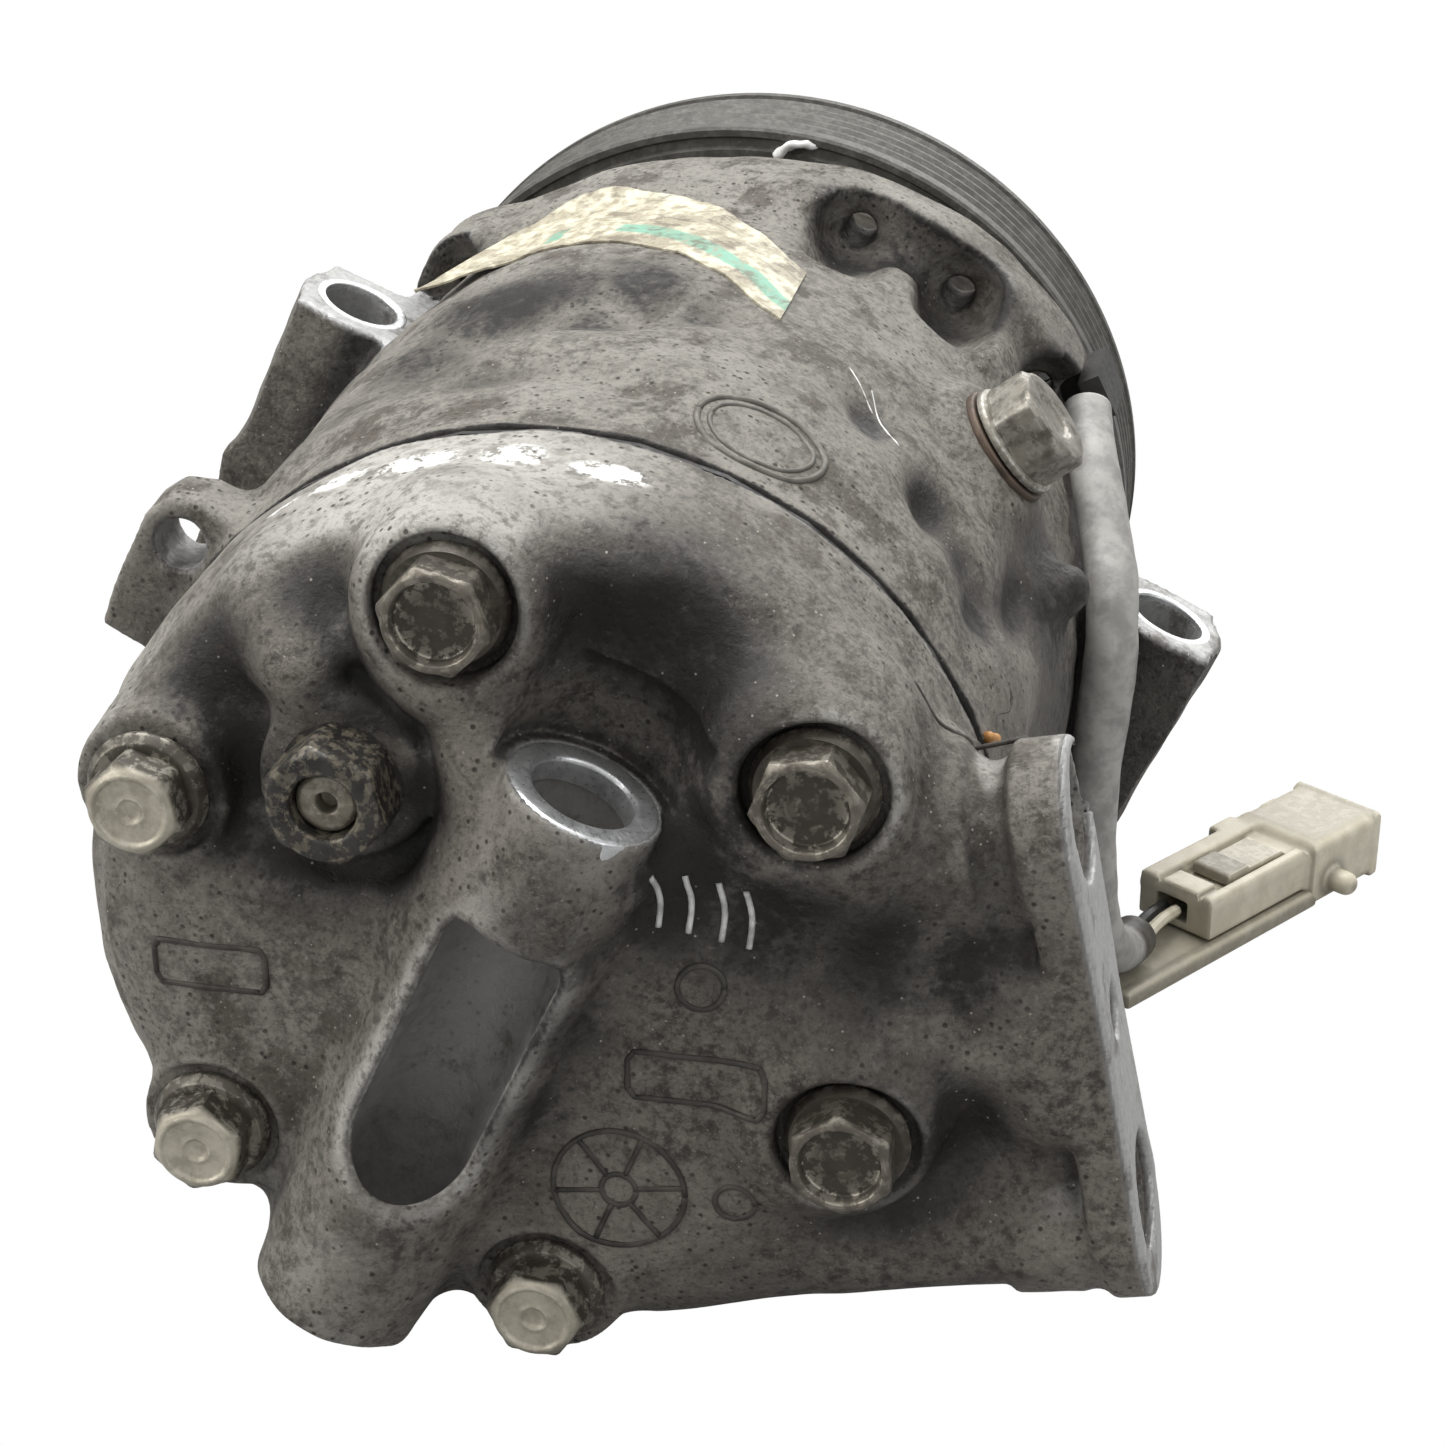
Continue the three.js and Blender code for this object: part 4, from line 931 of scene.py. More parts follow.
def head_bolt(i, angle, deep):
    """Flange bolt with a forged hexagon, deeply dished or nearly flat on top."""
    top = -30.3
    roll = (17 + i * 23) % 60
    if deep:
        profile = [
            (0, 0.01), (0, 7.7), (-0.7, 7.7), (-1.8, 7.0), (-2, 6.9, 12), (-6, 6.9, 12), (-6.7, 5.9),
            (-6.8, 5.5), (-6.7, 5.1), (-5.3, 4.7), (-5.15, 2.6), (-5.5, 1.3), (-5.35, 0.01),
        ]
    else:
        profile = [
            (0, 0.01), (0, 7.6), (-0.7, 7.6), (-1.8, 6.8), (-2, 6.4, 11), (-5.6, 6.4, 11), (-6.5, 5.1),
            (-6.8, 4.7), (-6.75, 4.4), (-6.35, 4.1), (-6.3, 2.1), (-6.5, 1.7), (-5.9, 1.1), (-5.85, 0.01),
        ]

    # Painted shade on the bolt heads: deep ones get a dark dish floor and dark sides, flat ones dark sides
    # under a light top disc.
    def grime_and_shade(along, radius):
        if deep:
            return 0.96 if radius < 4.9 else (0.8 if along > -5.9 else 0.2)
        return 0.95 if along > -6.2 and radius > 1.3 else 0.0

    name, foot = f"bolt_head_{i + 1}", polar(BOLT_CIRCLE, angle, top)
    head = turned(name, fillet(profile, 0.26, 2), foot, Y, 72, roll, shade=grime_and_shade)
    crisp(head, 40)
    shank = turned(
        f"bolt_shank_{i + 1}", [(0.2, 0.01), (0.2, 3.3), (123.6, 3.3), (124.3, 2.6), (124.3, 0.01)],
        polar(BOLT_CIRCLE, angle, top), Y, 20,
    )
    finished(head, "oily" if deep else "zinc", "compressor", f"head_bolt_{i + 1}", slot="zinc_steel")
    finished(shank, "steel", "compressor", f"head_bolt_{i + 1}", slot="zinc_steel")


LEAD = [
    (57, 102.4, 28.2), (58.1, 97, 25.2), (59.8, 90, 21.6), (62.4, 82, 14.8), (64.2, 74.5, 8.6),
    (64.5, 70.8, -1), (63.6, 70.2, -13), (63.2, 70.6, -25), (63.8, 72, -36), (65, 75, -45.5),
    (66.6, 80, -51.5), (68.2, 86, -54.8), (69.8, 91, -55.4),
]
CONNECTOR = np.array([70.1, 79.5, -62.5])
ALONG = np.array([0.571, 0.821, 0]) / math.hypot(0.571, 0.821)
ASIDE = np.cross([0, 0, 1.0], ALONG)


def smooth_line(points, per=8):
    """Centripetal Catmull-Rom line through the points."""
    p = [np.array(q, float) for q in points]
    p = [2 * p[0] - p[1], *p, 2 * p[-1] - p[-2]]
    line = []
    for i in range(1, len(p) - 2):
        t = [0.0]
        for j in range(3):
            t.append(t[-1] + max(np.linalg.norm(p[i + j] - p[i + j - 1]), 1e-6) ** 0.5)
        for s in np.linspace(t[1], t[2], per, endpoint=False):
            a1 = (t[1] - s) / (t[1] - t[0]) * p[i - 1] + (s - t[0]) / (t[1] - t[0]) * p[i]
            a2 = (t[2] - s) / (t[2] - t[1]) * p[i] + (s - t[1]) / (t[2] - t[1]) * p[i + 1]
            a3 = (t[3] - s) / (t[3] - t[2]) * p[i + 1] + (s - t[2]) / (t[3] - t[2]) * p[i + 2]
            b1 = (t[2] - s) / (t[2] - t[0]) * a1 + (s - t[0]) / (t[2] - t[0]) * a2
            b2 = (t[3] - s) / (t[3] - t[1]) * a2 + (s - t[1]) / (t[3] - t[1]) * a3
            line.append((t[2] - s) / (t[2] - t[1]) * b1 + (s - t[1]) / (t[2] - t[1]) * b2)
    line.append(p[-2])
    return np.array(line)


def swept(name, line, radius, steps=24, shape=None):
    """Tube along a line, shaded at its far end; shape(share, angles) gives the radius round the section."""
    tangent = np.gradient(line, axis=0)
    tangent /= np.linalg.norm(tangent, axis=1)[:, None]
    _, u, _ = frame_on(tangent[0])
    angles = np.arange(steps) * 2 * math.pi / steps
    rings = []
    for i, (p, t) in enumerate(zip(line, tangent)):
        u = u - t * (u @ t)
        u /= np.linalg.norm(u)
        v = np.cross(t, u)
        r = radius if shape is None else shape(i / (len(line) - 1), angles) * radius
        rings.append(p + (np.cos(angles) * r)[:, None] * u + (np.sin(angles) * r)[:, None] * v)
    first, last = line[0][None], line[-1][None]
    points = np.concatenate([np.repeat(first, steps, 0), *rings, np.repeat(last, steps, 0)])
    share = np.repeat(np.linspace(0, 1, len(line) + 2), steps)
    values = {"edge": share * 0, "shade": np.clip((share - 0.9) / 0.04, 0, 1)}
    return closed_mesh(name, points, ring_faces(len(line) + 2, steps), values)


def sleeve_section(share, angles):
    """Round at both ends, pressed and creased between them."""
    press = 0.1 * math.sin(math.pi * min(1, share * 1.3)) ** 2
    fold = 0.045 * math.exp(-(((share - 0.36) / 0.03) ** 2))
    fold += 0.05 * math.exp(-(((share - 0.52) / 0.025) ** 2))
    wave = 0.02 * math.sin(share * 60) + 0.012 * math.sin(share * 141 + 1)
    return 0.97 + press * np.cos(2 * angles + 0.6) - fold + wave * np.cos(3 * angles + share * 9)


# ------------------------------------------------------------------ finishes
METALS = {
    "zinc": (
        "zinc", (0.3, 0.275, 0.22), (0.46, 0.43, 0.35), 0.5, 0.45, 0.22, (0.1, 0.085, 0.06),
        (0.55, 0.52, 0.44)
    ),
    "oily": (
        "oily_steel", (0.1, 0.088, 0.072), (0.18, 0.16, 0.13), 0.5, 0.42, 0.3, GRIME, (0.44, 0.41, 0.34)
    ),
    "cut": ("cut_aluminium", (0.5, 0.505, 0.51), (0.66, 0.665, 0.67), 0.85, 0.32, 0.2, (0.2, 0.19, 0.17)),
    "steel": ("plain_steel", (0.3, 0.29, 0.27), (0.42, 0.41, 0.39), 0.9, 0.35, 0.1),
    "black": (
        "black_steel", (0.016, 0.015, 0.0135), (0.036, 0.033, 0.029), 0.3, 0.42, 0.2, GRIME,
        (0.46, 0.4, 0.29)
    ),
    "disc": (
        "valve_disc", (0.12, 0.105, 0.08), (0.24, 0.215, 0.17), 0.6, 0.42, 0.3, GRIME, (0.45, 0.42, 0.36)
    ),
    "plug": ("plug_steel", (0.13, 0.12, 0.1), (0.3, 0.28, 0.24), 0.65, 0.42, 0.4, GRIME, (0.5, 0.48, 0.44)),
    "pulley": (
        "pulley_steel", (0.062, 0.06, 0.053), (0.085, 0.082, 0.073), 0.3, 0.58, 0.1, (0.03, 0.027, 0.022),
        (0.17, 0.163, 0.147)
    ),
    "yoke": ("yoke_steel", (0.03, 0.027, 0.023), (0.07, 0.062, 0.05), 0.5, 0.55, 0.3, (0.06, 0.034, 0.018)),
    "clutch": (
        "clutch_steel", (0.12, 0.113, 0.1), (0.16, 0.151, 0.135), 0.7, 0.42, 0.1, (0.07, 0.04, 0.022),
        (0.42, 0.4, 0.36)
    ),
    "ground": ("ground_steel", (0.5, 0.5, 0.51), (0.64, 0.645, 0.65), 1.0, 0.2, 0.08),
    "spring": ("spring_steel", (0.3, 0.295, 0.285), (0.42, 0.415, 0.4), 0.9, 0.34, 0.3, (0.08, 0.05, 0.03)),
    "turned": ("turned_aluminium", (0.62, 0.62, 0.62), (0.74, 0.74, 0.74), 1.0, 0.3, 0.08),
    "bronze": ("bronze", (0.45, 0.33, 0.17), (0.6, 0.46, 0.26), 1.0, 0.3, 0.12),
    "copper": ("copper", (0.07, 0.052, 0.04), (0.14, 0.1, 0.075), 0.5, 0.5, 0.5),
    "brass": ("brass", (0.6, 0.46, 0.2), (0.72, 0.58, 0.3), 1.0, 0.3, 0.15),
    "sleeve": (
        "sleeve_plastic", (0.23, 0.224, 0.21), (0.36, 0.352, 0.33), 0.0, 0.5, 0.25, (0.07, 0.063, 0.053),
        (0.4, 0.39, 0.37)
    ),
    "rubber": ("rubber", (0.012, 0.0115, 0.011), (0.03, 0.028, 0.026), 0.0, 0.55, 0.3),
    "resin": ("resin", (0.02, 0.03, 0.045), (0.04, 0.055, 0.08), 0.0, 0.45, 0.2),
    "cream": (
        "connector_plastic", (0.47, 0.43, 0.33), (0.58, 0.54, 0.43), 0.0, 0.42, 0.3, (0.2, 0.165, 0.115),
        (0.6, 0.57, 0.48), 200
    ),
    "rail": (
        "rail_plastic", (0.55, 0.5, 0.38), (0.68, 0.63, 0.5), 0.0, 0.45, 0.35, (0.2, 0.16, 0.11),
        (0.66, 0.62, 0.52), 200
    ),
    "wire_black": ("wire_black", (0.01, 0.01, 0.01), (0.025, 0.025, 0.025), 0.0, 0.35, 0.2),
    "wire_cream": ("wire_cream", (0.42, 0.38, 0.28), (0.56, 0.52, 0.42), 0.0, 0.4, 0.3),
    "marker": ("marker_paint", (0.36, 0.36, 0.35), (0.7, 0.7, 0.68), 0.3, 0.5, 0.3),
    "white": ("white_paint", (0.66, 0.66, 0.64), (0.82, 0.82, 0.8), 0.0, 0.6, 0.1),
    "mark": ("cast_mark", (0.03, 0.027, 0.023), (0.07, 0.063, 0.053), 0.3, 0.5, 0.3),
    "raised": ("raised_mark", (0.08, 0.074, 0.064), (0.14, 0.13, 0.113), 0.3, 0.5, 0.4),
    "leaf": ("leaf", (0.28, 0.12, 0.03), (0.5, 0.26, 0.08), 0.0, 0.6, 0.2),
}
MATERIALS = {"cast": cast_metal(), "label": label_print()}
MATERIALS.update((key, plain_metal(*values)) for key, values in METALS.items())

INNER = {
    "gasket_rubber": "rubber", "spring_steel": "spring", "ground_steel": "ground",
    "machined_aluminium": "turned", "swash_bronze": "bronze", "copper_washer": "copper",
    "valve_brass": "brass", "seal_rubber": "rubber", "coil_resin": "resin", "black_steel": "black",
    "zinc_steel": "zinc", "pulley_steel": "clutch", "cast_aluminium": "cast", "sleeve_plastic": "sleeve",
    "wire_black": "wire_black", "wire_cream": "wire_cream", "connector_cream": "cream",
}
for item in frame["record"]["subparts"]:
    node = frame["nodes"][item["node"]]
    node.data.materials.clear()
    node.data.materials.append(MATERIALS[INNER[item["material_slot"]]])

# ------------------------------------------------------------------ connector
def plastic(name, c, material, node, shade=0.0):
    """Piece cast in the connector's own axes: along it, across it and up."""
    points, faces = c.surface()
    hollow, edge = shade_and_wear(c, points)
    placed = CONNECTOR + points @ np.stack([ALONG, ASIDE, [0, 0, 1.0]])
    # Painted shade and grime in the hollows; the shade argument adds an even darkening on top.
    values = {"edge": edge * 0.3, "shade": np.clip(hollow - 0.25, 0, 1) * 0.9 + shade}
    thing = mesh_object(name, placed, faces, values=values)
    return finished(crisp(thing, 40), material, "compressor", node, slot="connector_cream")


def block(c, low, high, k=0.4, rounding=0.5, remove=False):
    middle = np.array([0.0, 0, (low[2] + high[2]) / 2])
    outline = [(low[0], low[1]), (high[0], low[1]), (high[0], high[1]), (low[0], high[1])]
    half = (high[2] - low[2]) / 2
    c.prism(outline, middle, np.array([1.0, 0, 0]), np.array([0, 1.0, 0]), -half, half, k, rounding, remove)


c = Casting((18, -6, -0.6), (67.5, 19.5, 13.2), 0.42)
block(c, (22, 1.5, 3.2), (50, 16, 10), 0.6, 0.8)
block(c, (22, 12.4, 8), (50, 16, 11.3), 0.6, 0.8)
block(c, (22, 1.6, 8), (47, 3.6, 10.8), 0.5, 0.6)
block(c, (22.2, 4.5, 8), (29, 12, 10.9), 0.4, 0.5)
block(c, (48, 0, 0.1), (65.9, 16.5, 11.9), 1.6, 1.9)
block(c, (64.2, -0.2, 0), (65.9, 16.7, 12.1), 0.4, 0.8)
block(c, (56, 15, 4), (60.5, 18, 10.4), 0.8, 1)
c.capsule([53, 0, 4.2], [53, -2.8, 4.2], 2, 0.8)
block(c, (42, 15.5, 5), (48, 17.8, 11.3), 0.6, 0.8)
block(c, (52, 3, 3), (70, 13.5, 9.5), 0.4, 0.6, True)
block(c, (27, 4, 9), (45, 12, 14), 0.4, 0.5, True)
block(c, (16, 6.5, 4.8), (30, 12.5, 8.4), 0.4, 0.3, True)
housing = plastic("connector_housing", c, "cream", "connector_body")
c = Casting((-1.5, -1.2, -0.6), (50.5, 13.8, 4.2), 0.45)
block(c, (0, 0, 0.1), (49.3, 12.5, 2.9), 0.4, 0.7)
block(c, (0.6, 0.3, 2), (49, 2, 3.2), 0.3, 0.4)
block(c, (0.6, 10.6, 2), (49, 12.3, 3.2), 0.3, 0.4)
slide = plastic("connector_slide", c, "rail", "connector_rail", 0.1)
c = Casting((28.8, 3, 8.6), (45.8, 13, 12.2), 0.4)
block(c, (30, 4.3, 9.3), (44.6, 11.7, 10.7), 0.3, 0.4)
block(c, (30, 4.3, 9.3), (35.6, 11.7, 11.4), 0.3, 0.4)
latch = plastic("connector_latch", c, "cream", "connector_lock")

# ------------------------------------------------------------------ cord
sleeve = swept("coil_sleeve", smooth_line(LEAD, 14), 3.8, 28, sleeve_section)
finished(sleeve, "sleeve", "compressor", "lead_sleeve", slot="sleeve_plastic")

# ------------------------------------------------------------------ making
head_field, head_piece = rear_head()
finished(head_piece, "cast", "compressor", "rear_head", slot="cast_aluminium")
body_field, body_piece = front_housing()
finished(body_piece, "cast", "compressor", "front_housing", slot="cast_aluminium")
for i, angle in enumerate(BOLTS):
    head_bolt(i, angle, i < 3)

# Relief valve
relief = turned(
    "relief_hexagon",
    fillet(
        [
            (-23, 0.01), (-23, 4.2), (-31.9, 4.2), (-31.9, 7.2), (-32.2, 7.85, 13.6), (-38.4, 7.85, 13.6),
            (-39.4, 6.5), (-39.4, 4.6), (-39, 4.1), (-35.1, 4.1), (-35.1, 0.01),
        ],
        0.35, 2,
    ),
    RELIEF, Y, 72, roll=12, wear=0.7,
)
finished(crisp(relief, 38), "black", "compressor", "relief_valve_body", slot="black_steel")
disc = turned(
    "relief_cap",
    fillet(
        [
            (-35.3, 0.01), (-35.3, 3.75), (-37.3, 3.75), (-37.7, 3.2), (-37.7, 1.5), (-37.3, 1.25),
            (-35.6, 1.2), (-35.6, 0.01)
        ],
        0.2, 2
    ),
    RELIEF, Y, 48,
)
finished(crisp(disc, 38), "disc", "compressor", "relief_valve_disc", slot="black_steel")

# Filler plug and washer
plug_axis = radial(37)
plug = turned(
    "plug_head",
    fillet(
        [
            (51, 0.01), (51, 5), (62.5, 5), (62.5, 8.2), (63.5, 8.2), (63.8, 7.5), (64, 7.8, 13.5),
            (69.2, 7.8, 13.5), (70, 6.5), (69.9, 3.6), (69.3, 3.2), (69.3, 0.01),
        ],
        0.3, 2,
    ),
    [0, 59, 0], plug_axis, 72, roll=8,
)
finished(crisp(plug, 38), "plug", "compressor", "oil_plug", slot="zinc_steel")
washer = turned(
    "plug_washer", fillet([(60.9, 5.3), (60.9, 8.6), (62.2, 8.6), (62.2, 5.3)], 0.3, 2) + [(60.9, 5.3)],
    [0, 59, 0], plug_axis, 48,
)
finished(washer, "copper", "compressor", "oil_plug_washer", slot="copper_washer")

# Pulley: shallow ribs filled with dust, plain rims at both ends.
RIBS, RIB_PITCH = 5, 3.4
rim = [
    (126.5, 57.4), (126.5, 58.9), (127.1, 59.3), (127.1, 60.6), (126.5, 61.0), (126.5, 62.0),
    (126.9, 62.45), (129.4, 62.45)
]
for i in range(RIBS):
    y = 129.8 + RIB_PITCH * i
    rim += [(y + 0.3, 62.2), (y + 1.3, 61.5), (y + 2.1, 61.5), (y + 3.1, 62.2)]
rim += [(147, 61.2), (147.5, 61.2), (147.9, 62.45), (149.6, 62.45)]
rim += [(150, 62.1), (150, 56.2), (149.5, 55.8), (149.5, 30), (150, 29.5), (150, 27.4), (149.6, 27.1)]
rim += [(122.4, 27.1), (122, 27.5), (122, 30.8), (122.4, 31.2), (144, 31.2), (144, 56.6), (127, 56.6)]
pulley = turned("belt_pulley", rim, CENTRE, Y, 180, closed=True, wear=0.35)
finished(crisp(pulley, 30), "pulley", "belt_pulley", "pulley", slot="pulley_steel")
yoke = turned(
    "coil_shell",
    [
        (113.3, 32), (113.3, 53.9), (113.9, 54.5), (121, 54.5), (121.6, 54), (123, 54), (123.6, 54.5),
        (141.6, 54.5),
        (142, 54.1), (142, 50.9), (141.6, 50.5), (117, 50.5), (117, 36), (141.6, 36), (142, 35.6),
        (142, 32.4), (141.6, 32), (117, 32), (117, 20.4), (115.3, 20.4), (115.3, 32),
    ],
    CENTRE, Y, 96, closed=True,
)
finished(crisp(yoke, 30), "yoke", "compressor", "coil_yoke", slot="black_steel")

# ------------------------------------------------------------------ marks on the castings
def on_face(x, z, lift=0.0):
    """Point of the head's rear face at (x, z)."""
    y = np.arange(-45, -12, 0.15)
    depth = head_field.sample(np.stack([np.full(len(y), x), y, np.full(len(y), z)], 1))
    return np.array([x, y[int(np.argmax(depth < 0))] - lift, z])


def on_side(casting, angle, y, lift=0.0):
    """Point of a casting's outside at an angle about the shaft."""
    r = np.arange(66, 40, -0.15)
    depth = casting.sample(radial(angle) * r[:, None] + np.array([0, y, 0]))
    return polar(r[int(np.argmax(depth < 0))] + lift, angle, y)


def face_line(points, per=5, lift=0.0):
    flat = smooth_line([(x, 0, z) for x, z in points], per) if per > 1 else [(x, 0, z) for x, z in points]
    return np.array([on_face(q[0], q[2], lift) for q in flat])


def side_line(casting, points, per=5, lift=0.0):
    flat = smooth_line([(a, y, 0) for a, y in points], per)
    return np.array([on_side(casting, q[0], q[1], lift) for q in flat])


def straight(a, b, count=8):
    return [(a[0] + (b[0] - a[0]) * i / count, a[1] + (b[1] - a[1]) * i / count) for i in range(count + 1)]


def loop(x, z, rx, rz, count=40):
    turns = [2 * math.pi * i / count for i in range(count + 1)]
    return [(x + rx * math.cos(t), z + rz * math.sin(t)) for t in turns]


def drawn(name, lines, radius, material, node="rear_head", slot="cast_aluminium"):
    """Thin beads along lines on one casting."""
    for i, line in enumerate(lines):
        bead = swept(f"{name}_{i + 1}", line, radius, 8)
        finished(bead, material, "compressor", node, slot=slot)


WHEEL = (14.3, -29.9)
STROKES = (19.4, 22.8, 26.6, 29.8)
CORNERS = [(-1, -0.6), (-0.9, -1), (0.9, -1), (1, -0.6), (1, 0.6), (0.9, 1), (-0.9, 1), (-1, 0.6), (-1, -0.6)]
rays = [math.radians(60 * i + 8) for i in range(6)]
spokes = [
    [(WHEEL[0] + r * math.cos(t), WHEEL[1] + r * math.sin(t)) for r in np.linspace(2.3, 8.2, 7)] for t in rays
]
circles = [loop(*WHEEL, 8.3, 8.3), loop(*WHEEL, 2.2, 2.2, 20)]
drawn("wheel_rim", [face_line(q, 1) for q in circles], 0.42, "mark")
drawn("wheel_spoke", [face_line(q, 1) for q in spokes], 0.4, "mark")
plates = [(-36.6, -4.3, 7.2, 3.0), (24.2, -13.2, 8.6, 3.2)]
frames = [[(x + a * w, z + b * h) for a, b in CORNERS] for x, z, w, h in plates]
frames = [[q for a, b in zip(f[:-1], f[1:]) for q in straight(a, b, 10)] for f in frames]
drawn("blank_plate", [face_line(q, 1) for q in frames], 0.42, "mark")
rings = [loop(24.6, -0.5, 2.8, 2.8, 24), loop(28.8, -30.2, 2.5, 2.5, 24)]
drawn("cast_ring", [face_line(q, 1) for q in rings], 0.42, "mark")
bend = [(0, 15.6), (0.6, 11.8), (0.2, 7.6)]
scrawl = [[(x + a, z - 0.3 * (x - 19)) for a, z in bend] for x in STROKES]
drawn("marker_line", [face_line(q, 9, 0.05) for q in scrawl], 0.4, "marker")
crack = [(35.5, -12.4), (31, -13.2), (27, -12.2), (23.6, -12.6)]
drawn("surface_crack", [side_line(head_field, crack)], 0.32, "mark")
oval = [(66 + a, 12 + b) for a, b in loop(0, 0, 8.4, 7.0)]
inner_oval = [(66 + a, 12 + b) for a, b in loop(0, 0, 6.8, 5.4)]
for k, line in enumerate((oval, inner_oval)):
    trace = np.array([on_side(body_field, a, y) for a, y in line])
    drawn(f"blank_oval_{k + 1}", [trace], 0.5 - 0.12 * k, "raised", "front_housing")
scratches = [[(60.5, 44.8), (57.6, 42.6), (54.8, 40.0)], [(56.4, 44.0), (53.2, 38.8), (50.1, 34.5)]]
drawn("scratch", [side_line(body_field, q) for q in scratches], 0.13, "marker", "front_housing")

# Machined rings where the mounting bolts seat.
def seat_ring(name, centre, axis, inner, outer, node, height=0.45, edge=0.35):
    profile = fillet([(-3, outer), (height, outer), (height, inner), (-3, inner)], edge, 3)
    ring = turned(name, profile, centre, axis, 96, closed=True, wear=0)
    finished(crisp(ring, 40), "cut", "compressor", node, slot="cast_aluminium")


seat_ring("rear_seat", mount(0, REAR_Y, 27.7), MOUNT_UP, 6.4, 9.6, "rear_head", 0.25, 0.7)
seat_ring("left_seat", mount(-BOSS_X, BOSS_Y, 18.1), MOUNT_UP, 5.65, 7.3, "front_housing", 0.2)
seat_ring("right_seat", mount(BOSS_X, BOSS_Y, 32.1), MOUNT_UP, 5.65, 7.3, "front_housing", 0.2)

# Torn paper label, its left tip peeled up.
FRONT_EDGE = [(127, 70.6), (114, 95), (106, 98), (98, 95), (90, 91), (82, 83), (71.2, 69.8)]
REAR_EDGE = [(126.4, 69.4), (115.5, 73.8), (108, 74), (100, 72), (92, 68), (84.7, 62.7), (71.1, 48.9)]
far_line = smooth_line([(a, y, 0) for a, y in FRONT_EDGE], 10)
near_line = smooth_line([(a, y, 0) for a, y in REAR_EDGE], 10)
columns, rows = len(far_line), 17
sheet_points, along, across = [], [], []
for layer in (0.42, 0.12):
    for i in range(columns):
        for j in range(rows):
            u, v = i / (columns - 1), j / (rows - 1)
            a, y, _ = near_line[i] * (1 - v) + far_line[i] * v
            curl = 3.2 * max(0.0, 1 - u / 0.2) ** 1.5 + 0.16 * math.sin(u * 37 + v * 5) * math.sin(v * 9)
            sheet_points.append(on_side(body_field, a, y, layer + max(curl, -0.05)))
            along.append(u)
            across.append(v)
index = np.arange(columns * rows).reshape(columns, rows)
top_faces = np.stack([index[:-1, :-1], index[1:, :-1], index[1:, 1:], index[:-1, 1:]], -1).reshape(-1, 4)
border = [*index[:, 0], *index[-1, 1:], *index[-2::-1, -1], *index[0, -2:0:-1]]
shift = columns * rows
edge_faces = [[b, a, a + shift, b + shift] for a, b in zip(border[-1:] + border[:-1], border)]
sheet_faces = np.concatenate([top_faces, top_faces[:, ::-1] + shift, edge_faces])
sheet_values = {"along": along, "across": across}
paper = closed_mesh("paper_label", np.array(sheet_points), sheet_faces, sheet_values)
finished(crisp(paper, 50), "label", "compressor", "front_housing", slot="cast_aluminium")

# Leaf scrap, a hair and a dab of white paint.
scrap = [(20.6, 1.2), (19.6, 2.6), (18.8, 4.4)]
drawn("leaf_scrap", [side_line(body_field, scrap, 4, 0.6)], 0.75, "leaf", "front_housing")
hair = [(18.8, 3.0), (20.6, 7.0), (19.4, 11.0), (21.2, 13.5)]
drawn("hair", [side_line(body_field, hair, 8, 0.9)], 0.12, "mark", "front_housing")
dab = np.array(
    [polar(58.4, 85.4, 126.7), polar(60.6, 83, 126.5), polar(61, 80.4, 127.4), polar(61.2, 77.6, 129.6)]
)


def dab_section(share, angles):
    return 0.75 + 0.3 * np.cos(2 * angles) + 0.22 * math.sin(share * 17) * np.cos(3 * angles + share * 6)


white = swept("white_dab", smooth_line(dab, 8), 1.25, 16, dab_section)
finished(white, "white", "belt_pulley", "pulley", slot="pulley_steel")

# ------------------------------------------------------------------ clutch front
armature = turned(
    "armature_ring",
    fillet(
        [
            (150.5, 31), (150.5, 55.5), (154.5, 55.5), (154.5, 47), (153.9, 46.6), (153.9, 45),
            (154.5, 44.6), (154.5, 31)
        ],
        0.35, 2
    )
    + [(150.5, 31.35)], CENTRE, Y, 120, wear=0.25,
)
finished(crisp(armature, 40), "clutch", "armature", "armature_plate", slot="pulley_steel")
c = Casting((-47.2, 154.7, -47.2), (47.2, 156.9, 47.2), 0.4)
c.rod([0, 155.3, 0], [0, 156.3, 0], 46, 0, 0.2)
c.rod([0, 150, 0], [0, 160, 0], 16, 0.2, 0, True)
for angle in (0, 120, 240):
    c.rod(polar(34, angle, 150), polar(34, angle, 160), 9, 0.2, 0, True)
plate = mesh_object("spring_plate", *c.surface())
finished(crisp(plate, 40), "spring", "rotor", "hub_spring", slot="spring_steel")
for i, angle in enumerate((60, 180, 300)):
    profile = [(0, 0.01), (0, 2.9), (0.6, 2.8), (1.2, 1.9), (1.4, 0.01)]
    rivet = turned(f"spring_rivet_{i + 1}", profile, polar(38, angle, 156.3), Y, 24)
    finished(crisp(rivet, 40), "zinc", "rotor", slot="spring_steel")
    profile = [(0, 0.01), (0, 2.4), (0.5, 2.3), (1.0, 1.5), (1.1, 0.01)]
    rivet = turned(f"hub_rivet_{i + 1}", profile, polar(19, angle, 159.4), Y, 24)
    finished(crisp(rivet, 40), "zinc", "rotor", "clutch_hub", slot="pulley_steel")
hub = turned(
    "hub_boss",
    fillet(
        [
            (147, 7.2), (147, 15.6), (157, 15.6), (157, 22), (159.4, 22), (159.4, 14), (158.2, 12.6),
            (158.2, 7.2)
        ],
        0.35, 2
    )
    + [(147, 7.55)], CENTRE, Y, 96, wear=0.25,
)
finished(crisp(hub, 40), "clutch", "rotor", "clutch_hub", slot="pulley_steel")
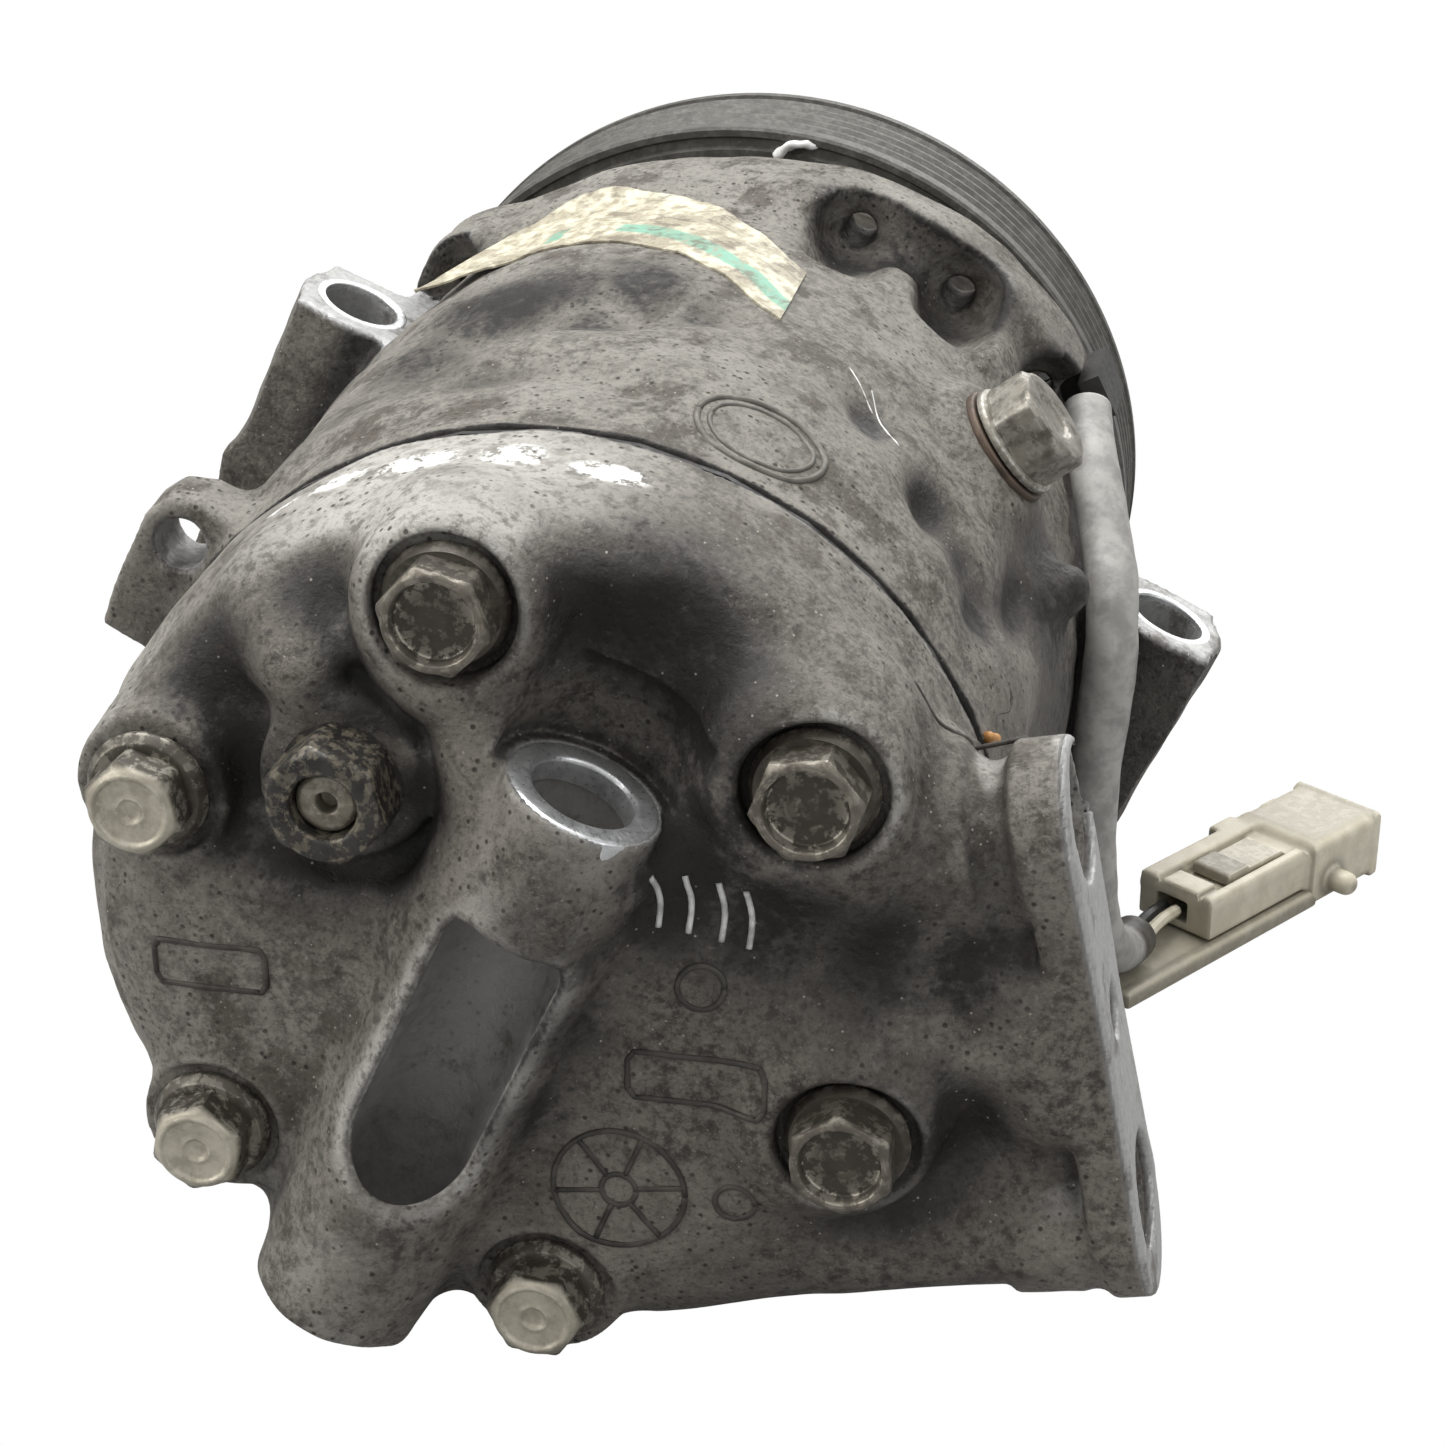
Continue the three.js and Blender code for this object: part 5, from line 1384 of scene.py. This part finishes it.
nut = turned(
    "shaft_nut",
    [
        (159.8, 0.01), (159.8, 6.6), (160.3, 7.5, 13), (164.2, 7.5, 13), (165, 6.3), (164.9, 4.1),
        (164.3, 3.8), (164.3, 3.2), (164.8, 2.8), (164.8, 0.01)
    ],
    CENTRE, Y, 72,
)
finished(crisp(nut, 38), "zinc", "rotor", "hub_nut", slot="zinc_steel")

# ------------------------------------------------------------------ stage
def camera_sees(tree, lit, seen, output):
    """Camera rays meet the shader seen, all other rays the shader lit."""
    path, either = tree.nodes.new("ShaderNodeLightPath"), tree.nodes.new("ShaderNodeMixShader")
    tree.links.new(path.outputs["Is Camera Ray"], either.inputs[0])
    tree.links.new(lit.outputs[0], either.inputs[1])
    tree.links.new(seen.outputs[0], either.inputs[2])
    tree.links.new(either.outputs[0], tree.nodes[output].inputs[0])


FLOOR, REACH = -62.6, 3000
corners = [[x * REACH, y * REACH, FLOOR] for x, y in ((-1, -1), (1, -1), (1, 1), (-1, 1))]
floor = mesh_object("floor", np.array(corners, float), [[0, 1, 2, 3]], smooth=False)
pale, tree, surface = shader("pale_floor")
surface.inputs["Base Color"].default_value = (0.3, 0.3, 0.3, 1)
surface.inputs["Roughness"].default_value = 0.9
camera_sees(tree, surface, tree.nodes.new("ShaderNodeEmission"), "Material Output")
floor.data.materials.append(pale)


AIM = Vector((0, 0, 0.06))


def lamp(name, at, size, power, colour=(1, 1, 1)):
    """Soft rectangular lamp that points at the middle of the part."""
    data = bpy.data.lights.new(name, "AREA")
    data.shape = "RECTANGLE"
    data.size, data.size_y = size
    data.energy = power
    data.color = colour
    thing = bpy.data.objects.new(name, data)
    bpy.context.scene.collection.objects.link(thing)
    thing.location = at
    thing.rotation_euler = (AIM - Vector(at)).to_track_quat("-Z", "Y").to_euler()


lamp("top_light", (-0.15, 0.25, 1.1), (1.1, 0.9), 17)
lamp("left_light", (-1.1, -0.5, 0.7), (0.7, 0.9), 9, (1.0, 0.98, 0.95))
lamp("right_light", (1.2, -0.6, 0.55), (0.5, 0.7), 3, (0.97, 0.985, 1.0))
lamp("behind_light", (0.3, 1.3, 0.6), (0.7, 0.7), 5)

# Sky: bright overhead, dimmer towards the ground, plain white as a backdrop.
world = bpy.data.worlds.new("studio")
world.use_nodes = True
tree = world.node_tree
sky = tree.nodes["Background"]
plain = tree.nodes.new("ShaderNodeBackground")
height = tree.nodes.new("ShaderNodeSeparateXYZ")
feed(height.inputs[0], Value(tree.nodes.new("ShaderNodeTexCoord").outputs["Generated"]))
feed(sky.inputs[0], Value(height.outputs["Z"]).ramp(-0.05, 0.95).blend((0.36, 0.36, 0.355), (1, 1, 1)))
plain.inputs[0].default_value = (1, 1, 1, 1)
camera_sees(tree, sky, plain, "World Output")
bpy.context.scene.world = world
bpy.context.scene.view_settings.view_transform = "Standard"
